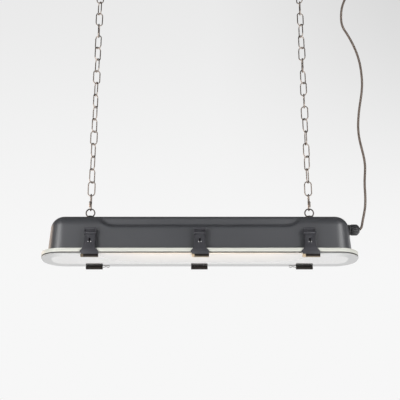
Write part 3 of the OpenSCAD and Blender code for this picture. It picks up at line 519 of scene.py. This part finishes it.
# A painted warm glow at the middle of the front edge, and painted shade in the seam band.
GLOW_MIDDLE, GLOW_X, GLOW_Y = 0.010, (0.250, 0.130), (0.030, -0.055)
PAINTED_GLOW, SEAM_SHADE = (0.80, 0.70, 0.59, 1), (0.06, 0.06, 0.055, 1)
MIRROR_SLANT, MIRROR_SHARE = (0.04, 0.25), (0.06, 0.62)


def glass_material():
    m = finish_of("frosted_glass", (0.51, 0.51, 0.505), (0.49, 0.49, 0.485),
                  0.3, 0.4, fine=300, broad=8, bump=0.0, Specular_IOR_Level=0.0)
    t, surface, white = opened(m)
    x, y, z = object_point(t)
    slant = node_of(t, "ShaderNodeFresnel", IOR=1.5).outputs[0]
    underside = ranged(t, z, *UNDERSIDE)
    inward = outline_distance(t, x, y, RIM_L / 2000, RIM_W / 2000, RIM_R / 1000)
    inner = ranged(t, inward, *BORDER, smooth=True)
    ground_edge = maths(t, "SUBTRACT", 1.0, underside)
    between_ends = ranged(t, maths(t, "ABSOLUTE", x), *LIT_X)
    lit_front = maths(t, "MULTIPLY", ranged(t, y, *LIT_Y), between_ends)
    lit = maths(t, "MAXIMUM", maths(t, "MAXIMUM", inner, ground_edge), lit_front)
    # Painted shade on the border, then a painted warm glow, then painted shade in the seam.
    border_shade = mixed(t, ranged(t, slant, *BORDER_SLANT), SHADE_STEEP, SHADE_FLAT)
    plate = mixed(t, lit, border_shade, white)
    off_middle = maths(t, "ABSOLUTE", maths(t, "SUBTRACT", x, GLOW_MIDDLE))
    glow = maths(t, "MULTIPLY", ranged(t, y, *GLOW_Y), ranged(t, off_middle, *GLOW_X))
    glowing = mixed(t, glow, plate, PAINTED_GLOW)
    seam_shaded = mixed(t, ranged(t, z, *SEAM_SHADE_BAND), glowing, SEAM_SHADE)
    give(t, surface.inputs["Base Color"], seam_shaded)
    mirror = node_of(t, "ShaderNodeBsdfGlossy", Color=(0.97, 0.97, 0.97, 1), Roughness=0.04)
    at_angle = ranged(t, slant, *MIRROR_SLANT, *MIRROR_SHARE)
    share = maths(t, "MULTIPLY", at_angle, underside)
    mixed_shader(t, share, surface.outputs[0], mirror.outputs[0])
    return m


GLASS = glass_material()
print("glass nodes:", len(GLASS.node_tree.nodes))

# %% [markdown]
# The trough is drawn from one sheet, so its edges are soft and its step flows into the
# dome. Cutting and bevelling solids leaves creases where the step meets the dome. So each
# vertex of a grid is pushed out from the trough's spine until it meets the pressed form,
# which is described by its distance: a leaning wall, a rounded top, and a stepped block
# taken out on each long side, all joined with round fillets.


# %% The pressed form
def round_join(a, b, r):
    """The part that lies inside both forms, with a fillet of radius r between them."""
    return np.minimum(-r, np.maximum(a, b)) + np.hypot(
        np.maximum(a + r, 0), np.maximum(b + r, 0))


def plan_distance(x, y, length, width, radius):
    qx, qy = np.abs(x) - (length / 2 - radius), np.abs(y) - (width / 2 - radius)
    return (np.hypot(np.maximum(qx, 0), np.maximum(qy, 0))
            + np.minimum(np.maximum(qx, qy), 0) - radius)


LEAN, WALL_FOOT = math.radians(3.8), 10
TOP, DOME_R = 92.0, 25.5
LEDGE, STEP_HALF, STEP_L, STEP_R = 64.6, 26.0, 229.0, 38.0
STEP_CORNER = 9.0
FILLET, FILLET_LOSS = 5.6, 2.4
TIGHTER_FROM, TIGHTER_OVER = 72, 14


def pressed_form(p):
    """Signed distance in mm to the trough's outside; p is in mm above the rim."""
    x, y, z = p[..., 0], p[..., 1], p[..., 2]
    e = plan_distance(x, y, BODY_L, BODY_W, BODY_R)
    wall = e * math.cos(LEAN) + (z - WALL_FOOT) * math.sin(LEAN)
    dome = round_join(wall, z - TOP, DOME_R)
    qx, qz = np.abs(x) - (STEP_L - STEP_R), (LEDGE + STEP_R) - z
    block = (np.hypot(np.maximum(qx, 0), np.maximum(qz, 0))
             + np.minimum(np.maximum(qx, qz), 0) - STEP_R)
    step = round_join(STEP_HALF - np.abs(y), block, STEP_CORNER)
    high = np.clip((z - TIGHTER_FROM) / TIGHTER_OVER, 0, 1)
    return round_join(dome, -step, FILLET - FILLET_LOSS * high * high * (3 - 2 * high))


def meet(origin, direction, reach=70.0, halvings=26):
    """The point on the form's surface along each direction, found by halving."""
    near, far_off = np.zeros(len(origin)), np.full(len(origin), reach)
    for _ in range(halvings):
        mid = (near + far_off) / 2
        inside = pressed_form(origin + direction * mid[:, None]) < 0
        near, far_off = np.where(inside, mid, near), np.where(inside, far_off, mid)
    return origin + direction * near[:, None]


SPINE, SPINE_Z = BODY_L / 2 - BODY_R, 50.0
summit = meet(np.array([[0.0, 0.0, SPINE_Z]]), np.array([[0.0, 0.0, 1.0]]))
print("top of the trough:", round(float(summit[0, 2]), 2), "mm")

# %% [markdown]
# The grid runs once round the spine. Its columns are close together where the step ends,
# and its rows are close together across the ledge. The two ends turn about the spine's
# end points, so they close in a pole.

# %% Housing grid
FOOT_OUT = 41.8
FOOT_ANGLE = math.degrees(math.atan2(WALL_FOOT - SPINE_Z, FOOT_OUT))
STEP_NEAR, STEP_FAR = 186, 238
LEDGE_LOW, LEDGE_MID, LEDGE_HIGH = 14, 42, 66
runs = np.unique(np.concatenate([
    np.linspace(-SPINE, -STEP_FAR, 8), np.linspace(-STEP_FAR, -STEP_NEAR, 40),
    np.linspace(-STEP_NEAR, STEP_NEAR, 40), np.linspace(STEP_NEAR, STEP_FAR, 40),
    np.linspace(STEP_FAR, SPINE, 8)]).round(3))
turns = np.radians(np.linspace(90, -90, 37))[1:-1]
stations = [(x, 0.0, math.pi / 2) for x in runs]
stations += [(SPINE, 0.0, a) for a in turns]
stations += [(x, 0.0, -math.pi / 2) for x in runs[::-1]]
stations += [(-SPINE, 0.0, math.pi + a) for a in turns]
climbs = np.radians(np.unique(np.concatenate([
    np.linspace(FOOT_ANGLE, LEDGE_LOW, 12), np.linspace(LEDGE_LOW, LEDGE_MID, 26),
    np.linspace(LEDGE_MID, LEDGE_HIGH, 22), np.linspace(LEDGE_HIGH, 90, 8)]).round(4)))
rows = []
for climb in climbs:
    origin = np.array([(x, y, SPINE_Z) for x, y, _ in stations])
    way = np.array([(math.cos(a) * math.cos(climb), math.sin(a) * math.cos(climb),
                     math.sin(climb)) for _, _, a in stations])
    rows.append(meet(origin, way))
print("housing rows:", len(rows), "stations:", len(stations))

# %% [markdown]
# Below its foot the wall turns outwards into a flange that the rim is pushed over. The
# flange follows the outline's own outward direction, found from small steps in the plan.

# %% Housing flange
SMALL_STEP = 0.01
FLANGE = ((10.6, 6.5), (2.0, 6.5), (0.9, 7.0), (0.25, 8.2))
foot = rows[0].copy()


def plan_change(dx, dy):
    """How much the distance to the plan's outline grows along a small step at the foot."""
    x, y = foot[:, 0], foot[:, 1]
    return (plan_distance(x + dx, y + dy, BODY_L, BODY_W, BODY_R)
            - plan_distance(x - dx, y - dy, BODY_L, BODY_W, BODY_R))


slope = np.stack([plan_change(SMALL_STEP, 0), plan_change(0, SMALL_STEP),
                  np.zeros(len(foot))], 1)
outward = slope / np.linalg.norm(slope, axis=1)[:, None]
skirt = []
for reach, height in FLANGE:
    ring = foot + outward * reach
    ring[:, 2] = height
    skirt.append(ring)
rows = skirt + rows
print("rows with the flange:", len(rows))

# %% [markdown]
# The rows become a skin of faces. Doubles along the top line and at its two poles are
# merged, the faces are turned outwards, and only then does a Solidify modifier give the
# sheet its thickness.


# %% Housing shell
def skin(name, rings):
    """A mesh through closed rings of points, each with the same number of points."""
    n = len(rings[0])
    points = place(np.concatenate(rings))
    faces = [(r * n + k, r * n + (k + 1) % n, (r + 1) * n + (k + 1) % n, (r + 1) * n + k)
             for r in range(len(rings) - 1) for k in range(n)]
    data = bpy.data.meshes.new(name)
    data.from_pydata([tuple(p) for p in points], [], faces)
    piece = bpy.data.objects.new(name, data)
    bpy.context.scene.collection.objects.link(piece)
    return piece


def select_only(piece):
    bpy.ops.object.select_all(action="DESELECT")
    piece.select_set(True)
    bpy.context.view_layer.objects.active = piece


def tidy_mesh(piece, distance=1e-5):
    """Merges doubles and turns the faces outwards."""
    select_only(piece)
    bpy.ops.object.mode_set(mode="EDIT")
    bpy.ops.mesh.select_all(action="SELECT")
    bpy.ops.mesh.remove_doubles(threshold=distance)
    bpy.ops.mesh.dissolve_degenerate(threshold=1e-6)
    bpy.ops.mesh.normals_make_consistent(inside=False)
    bpy.ops.object.mode_set(mode="OBJECT")


def add_modifier(piece, kind, **settings):
    select_only(piece)
    modifier = piece.modifiers.new(kind.lower(), kind)
    for key, value in settings.items():
        setattr(modifier, key, value)
    bpy.ops.object.modifier_apply(modifier=modifier.name)


def shade(piece, crease):
    """Smooth shading, broken where faces meet at more than the crease, in degrees."""
    select_only(piece)
    bpy.ops.object.shade_smooth_by_angle(angle=math.radians(crease))


SHEET = 0.0015
housing = skin("housing_shell", rows)
tidy_mesh(housing)
add_modifier(housing, "SOLIDIFY", thickness=SHEET, offset=-1.0)
shade(housing, 50)
housing.data.materials.append(GREY)
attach(housing, "lamp")
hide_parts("housing")
print("housing faces:", len(housing.data.polygons))

# %% [markdown]
# The rim is one silicone profile that is pushed over the steel flange. A curve with a
# bevel profile could make it too. Here the section is drawn as points, its corners are
# softened with small curves, and each of its points is run round the outline as a ring,
# because the glass plate can then take its outline from the same points. Where the rim
# lies on the glass, its finish has a dark band of painted shade, as in an open seam.


# %% Rim
# A dark band of painted shade where the rim lies on the glass.
RIM_SEAM_SHADE_BAND, RIM_SEAM_SHADE = (level(1.4), level(2.0)), (0.045, 0.045, 0.04, 1)


def rim_material():
    """Cream silicone, with painted shade in the open seam where it lies on the glass."""
    m = CREAM.copy()
    m.name = "cream_rim"
    t, surface, cream = opened(m)
    above = ranged(t, object_point(t)["Z"], *RIM_SEAM_SHADE_BAND)
    give(t, surface.inputs["Base Color"], mixed(t, above, RIM_SEAM_SHADE, cream))
    return m


def loop_points(length, width, radius, corner=24):
    """Points and outward directions round a rounded rectangle."""
    points, ways = [], []
    for cx, cy, start in ((1, 1, 0), (-1, 1, 90), (-1, -1, 180), (1, -1, 270)):
        for a in np.radians(np.linspace(start, start + 90, corner)):
            way = (math.cos(a), math.sin(a))
            points.append((cx * (length / 2 - radius) + radius * way[0],
                           cy * (width / 2 - radius) + radius * way[1]))
            ways.append(way)
    return np.array(points), np.array(ways)


def soften(section, radius, steps=4):
    """Rounds the corners of a closed section."""
    out = []
    n = len(section)
    for i in range(n):
        p = np.array(section[i], float)
        a = np.array(section[i - 1], float) - p
        b = np.array(section[(i + 1) % n], float) - p
        la, lb = np.linalg.norm(a), np.linalg.norm(b)
        r = min(radius, la * 0.45, lb * 0.45)
        a, b = a / la * r, b / lb * r
        for k in range(steps + 1):
            t = k / steps
            out.append(tuple(p + a * (1 - t) ** 2 + b * t ** 2))
    return out


def rings_round(section, length, width, radius):
    """A ring round the outline for each point (outward, height) of a section."""
    points, ways = loop_points(length, width, radius)
    rings = []
    for out, height in section:
        ring = np.zeros((len(points), 3))
        ring[:, :2] = points + ways * out
        ring[:, 2] = height
        rings.append(ring)
    return rings


RIM_SECTION = [(-1.2, 1.2), (0, 1.2), (0, 10.3), (-11, 10.3), (-11, 6.6), (-2.2, 6.6),
               (-2.2, 4.9), (-22, 4.9), (-22, 0.05), (-1.2, 0.05)]
soft_section = soften(RIM_SECTION, 1.0)
rim = skin("rim_rubber", rings_round(soft_section + soft_section[:1], RIM_L, RIM_W, RIM_R))
tidy_mesh(rim)
shade(rim, 40)
rim.data.materials.append(rim_material())
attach(rim, "lamp")
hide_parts("rim_seal")
print("rim faces:", len(rim.data.polygons))

# %% [markdown]
# The glass plate has the rim's outline. Its edges are ground round, so its section runs
# from the middle of the top over the edge to the middle of the underside, and the two
# open middles are filled.

# %% Glass plate
GLASS_SECTION = [(-46.9, 0), (-1.3, 0), (-0.4, -0.3), (0, -1.1), (0, -2.2),
                 (-0.25, -2.8), (-0.8, -3), (-1.2, -3), (-46.9, -3)]


def fill_ends(piece):
    """Fills the open ends of a skin."""
    select_only(piece)
    bpy.ops.object.mode_set(mode="EDIT")
    mesh = bmesh.from_edit_mesh(piece.data)
    bmesh.ops.holes_fill(mesh, edges=[e for e in mesh.edges if e.is_boundary], sides=0)
    bmesh.update_edit_mesh(piece.data)
    bpy.ops.object.mode_set(mode="OBJECT")


glass = skin("glass_plate", rings_round(GLASS_SECTION, RIM_L, RIM_W, RIM_R))
fill_ends(glass)
tidy_mesh(glass)
shade(glass, 30)
glass.data.materials.append(GLASS)
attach(glass, "lamp")
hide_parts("glass")
print("glass faces:", len(glass.data.polygons))

# %% [markdown]
# Folded and moulded CAD pieces have knife-sharp edges. Bevelling the shader's normal
# would fool the camera only, and the mesh itself would stay sharp. So a copy of each
# piece gets its edges rounded with a small bevel, and they catch the light as real edges
# do. A CAD mesh is loose triangles, so the copy is merged first and its flat faces are
# joined, which keeps the bevel to the true edges.


# %% Rounded copies
MERGE_GAP, FLAT_ANGLE, CREASE = 2e-6, 1.0, 45


def rounded_copy(node, width, body, finish, segments=2, angle=35):
    """A copy of a CAD node with its sharp edges bevelled, in mm."""
    copy = nodes[node].copy()
    copy.data = nodes[node].data.copy()
    copy.name = node + "_rounded"
    copy.parent = None
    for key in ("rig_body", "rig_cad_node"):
        if key in copy:
            del copy[key]
    bpy.context.scene.collection.objects.link(copy)
    tidy_mesh(copy, MERGE_GAP)
    bpy.ops.object.mode_set(mode="EDIT")
    bpy.ops.mesh.select_all(action="SELECT")
    bpy.ops.mesh.dissolve_limited(angle_limit=math.radians(FLAT_ANGLE))
    bpy.ops.object.mode_set(mode="OBJECT")
    add_modifier(copy, "BEVEL", width=width / 1000, segments=segments,
                 limit_method="ANGLE", angle_limit=math.radians(angle),
                 use_clamp_overlap=True)
    shade(copy, CREASE)
    copy.data.materials.clear()
    copy.data.materials.append(finish)
    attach(copy, body)
    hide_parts(node)


rounded_copy("latch_brackets", 0.45, "lamp", LATCH_GREY)
rounded_copy("gland_body", 0.4, "lamp", NYLON)
rounded_copy("gland_nut", 0.3, "lamp", NYLON)
rounded_copy("left_eye_bolt", 0.5, "lamp", EYE_STEEL)
rounded_copy("right_eye_bolt", 0.5, "lamp", EYE_STEEL)
rounded_copy("left_quick_nut", 0.4, "left_chain", NICKEL)
rounded_copy("right_quick_nut", 0.4, "right_chain", NICKEL)

# %% [markdown]
# Each latch has a lever and a rubber sleeve on the lever's lip, which presses the glass
# up. The sleeves are moulded, so their edges are rounder. The front ones show painted warm
# light, an amber edge at their left end and below, fainter on the left latch. No separate
# piece is seen there, so this painted light is a zone of the dark rubber's colour. X is
# wrapped round halfway between the latches, so one zone serves all the sleeves.


# %% Levers and sleeves
# The amber is painted warm light at the left end and below the front sleeves.
WARM_LIGHT_PAINT = (0.52, 0.41, 0.28, 1)
HALF_SPACING = LATCH_X / 2000
WARM_LIGHT_END = (-0.0130, -0.0105)
WARM_LIGHT_UNDER, UNDER_SHARE = (level(-9.9), level(-8.8)), 0.4
FAINT_LEFT, LEFT_SHARE = (-0.20, -0.05), 0.25


def sleeve_material():
    """Dark rubber with painted warm light, an amber edge, on the front sleeves."""
    m = DARK_RUBBER.copy()
    m.name = "rubber_painted_warm_light"
    t, surface, dark = opened(m)
    x, y, z = object_point(t)
    along = maths(t, "WRAP", x, HALF_SPACING, -HALF_SPACING)
    end = ranged(t, along, *WARM_LIGHT_END, 1.0, 0.0, smooth=True)
    under = ranged(t, z, *WARM_LIGHT_UNDER, UNDER_SHARE, 0.0)
    side = ranged(t, x, *FAINT_LEFT, LEFT_SHARE, 1.0)
    front = maths(t, "MULTIPLY", maths(t, "LESS_THAN", y, 0.0), side)
    shown = maths(t, "MULTIPLY", front, maths(t, "MAXIMUM", end, under))
    give(t, surface.inputs["Base Color"], mixed(t, shown, dark, WARM_LIGHT_PAINT))
    return m


SLEEVE = sleeve_material()
for front, side, x in LATCHES:
    rounded_copy(f"{front}_{side}_lever", 0.4, f"{front}_{side}_latch", LATCH_GREY)
    rounded_copy(f"{front}_{side}_pad", 1.8, f"{front}_{side}_latch", SLEEVE, segments=3,
                 angle=60)
print("latches dressed:", len(LATCHES))

# %% [markdown]
# Two small studs stand beside the foot of each lever's keyhole, and their near-white colour
# is a painted highlight. They hold a spring leaf behind the plate, which is painted black
# as shade and makes the keyhole look black. Another leaf fills the bracket between its lip
# and the lever's knuckle. Each is modelled once, on the front middle latch, and then copied
# to the others, turned half round for the rear ones.

# %% Studs and leaves
STUD_X, STUD_Y, STUD_Z = 2.7, 54.75, 24.3
STUD_R, STUD_H, STUD_EDGE = 0.95, 1.1, 0.4
LEVER_LEAN = math.atan2(9.2, 35.0)
PLATE_Y, PLATE_Z, LEAF_BEHIND = 56, 11, 0.55
SPRING_LEAF, SPRING_LEAF_Z = (11.0, 0.5, 15.0), 28.5
HINGE_LEAF, HINGE_LEAF_AT = (21.5, 0.8, 3.4), (0, -50.9, 51.3)


def apply_place():
    bpy.ops.object.transform_apply(location=True, rotation=True, scale=True)


def stud_pair():
    """Two rounded stud heads on the front middle lever."""
    heads = []
    for s in (-1, 1):
        bpy.ops.mesh.primitive_cylinder_add(
            vertices=20, radius=STUD_R / 1000, depth=STUD_H / 1000,
            location=tuple(place([s * STUD_X, -STUD_Y, STUD_Z])), rotation=(math.radians(90), 0, 0))
        apply_place()
        heads.append(bpy.context.object)
    heads[0].select_set(True)
    bpy.context.view_layer.objects.active = heads[0]
    bpy.ops.object.join()
    add_modifier(heads[0], "BEVEL", width=STUD_EDGE / 1000, segments=3, limit_method="ANGLE",
                 angle_limit=math.radians(50))
    select_only(heads[0])
    bpy.ops.object.shade_smooth()
    heads[0].data.materials.append(STUD_HIGHLIGHT)
    return heads[0]


def leaf_of(size, at, lean, finish):
    """A flat leaf of a size in mm, leaning about X."""
    bpy.ops.mesh.primitive_cube_add(size=1)
    leaf = bpy.context.object
    leaf.scale = [s / 1000 for s in size]
    leaf.rotation_euler.x = lean
    leaf.location = place(at)
    apply_place()
    leaf.data.materials.append(finish)
    return leaf


def to_each_latch(first, name, body=None):
    """Copies a piece of the front middle latch to all the latches. It rides on the
    latches, or on the one body that is named."""
    for front, side, x in LATCHES:
        piece = first
        if (front, side) != ("front", "middle"):
            piece = first.copy()
            piece.data = first.data.copy()
            bpy.context.scene.collection.objects.link(piece)
            select_only(piece)
            piece.rotation_euler.z = math.pi if front == "rear" else 0.0
            piece.location.x = x / 1000
            apply_place()
        piece.name = f"{front}_{side}_{name}"
    for front, side, x in LATCHES:
        piece = bpy.data.objects[f"{front}_{side}_{name}"]
        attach(piece, body or f"{front}_{side}_latch")


plate_y = PLATE_Y - (SPRING_LEAF_Z - PLATE_Z) * math.tan(LEVER_LEAN)
spring_leaf_at = (0.0, LEAF_BEHIND - plate_y, SPRING_LEAF_Z)
to_each_latch(stud_pair(), "studs")
to_each_latch(leaf_of(SPRING_LEAF, spring_leaf_at, -LEVER_LEAN, LEAF_SHADE_BLACK), "leaf")
to_each_latch(leaf_of(HINGE_LEAF, HINGE_LEAF_AT, 0.0, LATCH_GREY), "hinge_leaf",
              "lamp")
print("stud pairs and leaves:", 3 * len(LATCHES))

# %% [markdown]
# The cord is a textile-covered mains lead. It leaves the gland, turns straight up and
# climbs to the ceiling in loose waves that its drum has left in it. Its line repeats the
# route of the CAD model, in two halves. A curve with a round bevel could make it. Here it
# is a tube of rings built round the line, because the braid needs a UV map whose V is the
# true length in metres.

# %% Cord route
LOWER = [(340.2, 67), (346, 67), (352, 67), (356, 67.2), (359.8, 68.6), (362.6, 71.6),
         (364.4, 75.6), (365.5, 80), (366.3, 84), (368.5, 93), (371, 103), (374, 116),
         (376.2, 131), (377.3, 150), (377.5, 170), (378.4, 187), (380.2, 204), (381.4, 218),
         (381.2, 232), (379.6, 247), (377, 263), (374.4, 278), (372.5, 293), (371.7, 308),
         (372, 324), (373.7, 341), (376.8, 363), (380.8, 384), (385, 406), (387.8, 427),
         (388.6, 441), (388.6, 446)]
UPPER = [(388.6, 446), (388.6, 451), (388, 468), (385.8, 490), (380.4, 516), (371.5, 543),
         (361, 567), (352.5, 584), (348.6, 600), (348.6, 620), (351.8, 642),
         (357.4, 659), (362.6, 671), (366.4, 680), (367.8, 685), (368, 688.5)]
CORD_D, CORD_GAP = 5.5, 2.5


def smooth_line(points, gap):
    """A smooth line through the points, as points about one gap apart, in mm."""
    p = np.array([(x, 0.0, z) for x, z in points])
    p = np.vstack([2 * p[0] - p[1], p, 2 * p[-1] - p[-2]])
    out = []
    for i in range(1, len(p) - 2):
        a, b, c, d = p[i - 1:i + 3]
        for t in np.arange(0, 1, 1 / max(2, round(np.linalg.norm(c - b) / gap))):
            out.append(0.5 * (2 * b + (c - a) * t + (2 * a - 5 * b + 4 * c - d) * t ** 2
                              + (3 * b - a - 3 * c + d) * t ** 3))
    out.append(p[-2])
    return np.array(out)


def cord_tube(name, line, sides=16):
    """A tube round the line, with a UV map whose V is the length in metres."""
    ahead = np.gradient(line, axis=0)
    ahead /= np.linalg.norm(ahead, axis=1)[:, None]
    across = np.array([0.0, 1.0, 0.0])
    over = np.cross(ahead, across)
    turns_round = np.linspace(0, 2 * math.pi, sides, endpoint=False)
    rings = [line[i] + CORD_D / 2 * (np.cos(turns_round)[:, None] * over[i]
                                     + np.sin(turns_round)[:, None] * across)
             for i in range(len(line))]
    piece = skin(name, rings)
    run = np.concatenate([[0], np.cumsum(np.linalg.norm(np.diff(line, axis=0), axis=1))])
    uv = piece.data.uv_layers.new(name="along")
    for face in piece.data.polygons:
        for loop in face.loop_indices:
            v = piece.data.loops[loop].vertex_index
            k, r = v % sides, v // sides
            wrap = 1.0 if k == 0 and face.index % sides == sides - 1 else 0.0
            uv.data[loop].uv = (k / sides + wrap, run[r] / 1000)
    fill_ends(piece)
    bpy.ops.object.mode_set(mode="EDIT")
    bpy.ops.mesh.select_all(action="SELECT")
    bpy.ops.mesh.normals_make_consistent(inside=False)
    bpy.ops.object.mode_set(mode="OBJECT")
    shade(piece, 50)
    return piece, run[-1] / 1000


lower_line = smooth_line(LOWER, CORD_GAP)
upper_line = smooth_line(UPPER, CORD_GAP)
print("points on the cord's line:", len(lower_line), "and", len(upper_line))

# %% [markdown]
# The braid is two sets of threads that cross as they go round. Each set is a wave across
# the UV map, and where the waves of one set are high they lie over the other set. Threads
# modelled one by one would be too fine to see at this distance, so the waves only change
# the colour and bump the surface.

# %% Cord finish and pieces
THREADS_ROUND, THREAD_PITCH = 8, 0.0022
THREAD_DARK, THREAD_LIGHT = (0.100, 0.076, 0.062, 1), (0.190, 0.150, 0.125, 1)


def braid_material():
    m = bpy.data.materials.new("braided_textile")
    m.use_nodes = True
    t = m.node_tree
    surface = t.nodes["Principled BSDF"]
    where = t.nodes.new("ShaderNodeUVMap")
    where.uv_map = "along"
    split = t.nodes.new("ShaderNodeSeparateXYZ")
    t.links.new(where.outputs[0], split.inputs[0])
    around = maths(t, "MULTIPLY", split.outputs["X"], THREADS_ROUND * 2 * math.pi)
    along = maths(t, "MULTIPLY", split.outputs["Y"], 2 * math.pi / THREAD_PITCH)
    one = maths(t, "SINE", maths(t, "ADD", around, along))
    two = maths(t, "SINE", maths(t, "SUBTRACT", around, along))
    threads = maths(t, "MAXIMUM", one, two)
    point = t.nodes.new("ShaderNodeTexCoord")
    noise = node_of(t, "ShaderNodeTexNoise", Scale=900.0, Detail=2.0)
    give(t, noise.inputs["Vector"], point.outputs["Object"])
    height = maths(t, "ADD", threads, maths(t, "MULTIPLY", noise.outputs["Fac"], 0.6))
    ramp = t.nodes.new("ShaderNodeValToRGB")
    dark, light = ramp.color_ramp.elements
    dark.position, light.position = 0.1, 0.95
    dark.color, light.color = THREAD_DARK, THREAD_LIGHT
    give(t, ramp.inputs["Fac"], maths(t, "MULTIPLY_ADD", height, 0.5, 0.15))
    bump = node_of(t, "ShaderNodeBump", Strength=0.35, Distance=0.00015)
    give(t, bump.inputs["Height"], height)
    give(t, surface.inputs["Base Color"], ramp.outputs[0])
    give(t, surface.inputs["Normal"], bump.outputs[0])
    surface.inputs["Roughness"].default_value = 0.85
    surface.inputs["Sheen Weight"].default_value = 0.25
    return m


BRAID = braid_material()
cord_lower, lower_length = cord_tube("cord_below", lower_line)
cord_upper, upper_length = cord_tube("cord_above", upper_line)
for piece in (cord_lower, cord_upper):
    piece.data.materials.append(BRAID)
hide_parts("cord_lower")
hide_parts("cord_upper")
tuple(place([368, 0, 680]))
tuple(place([388.6, 0, 450]))
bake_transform(cord_upper)
tuple(place([388.6, 0, 440]))
tuple(place([366.3, 0, 84]))
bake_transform(cord_lower)
tuple(place([340.2, 0, 67]))
[tuple(p) for p in place(lower_line)]
tuple(place([388.6, 0, 446]))
[tuple(p) for p in place(upper_line)]
print("cord lengths:", round(lower_length, 4), round(upper_length, 4))
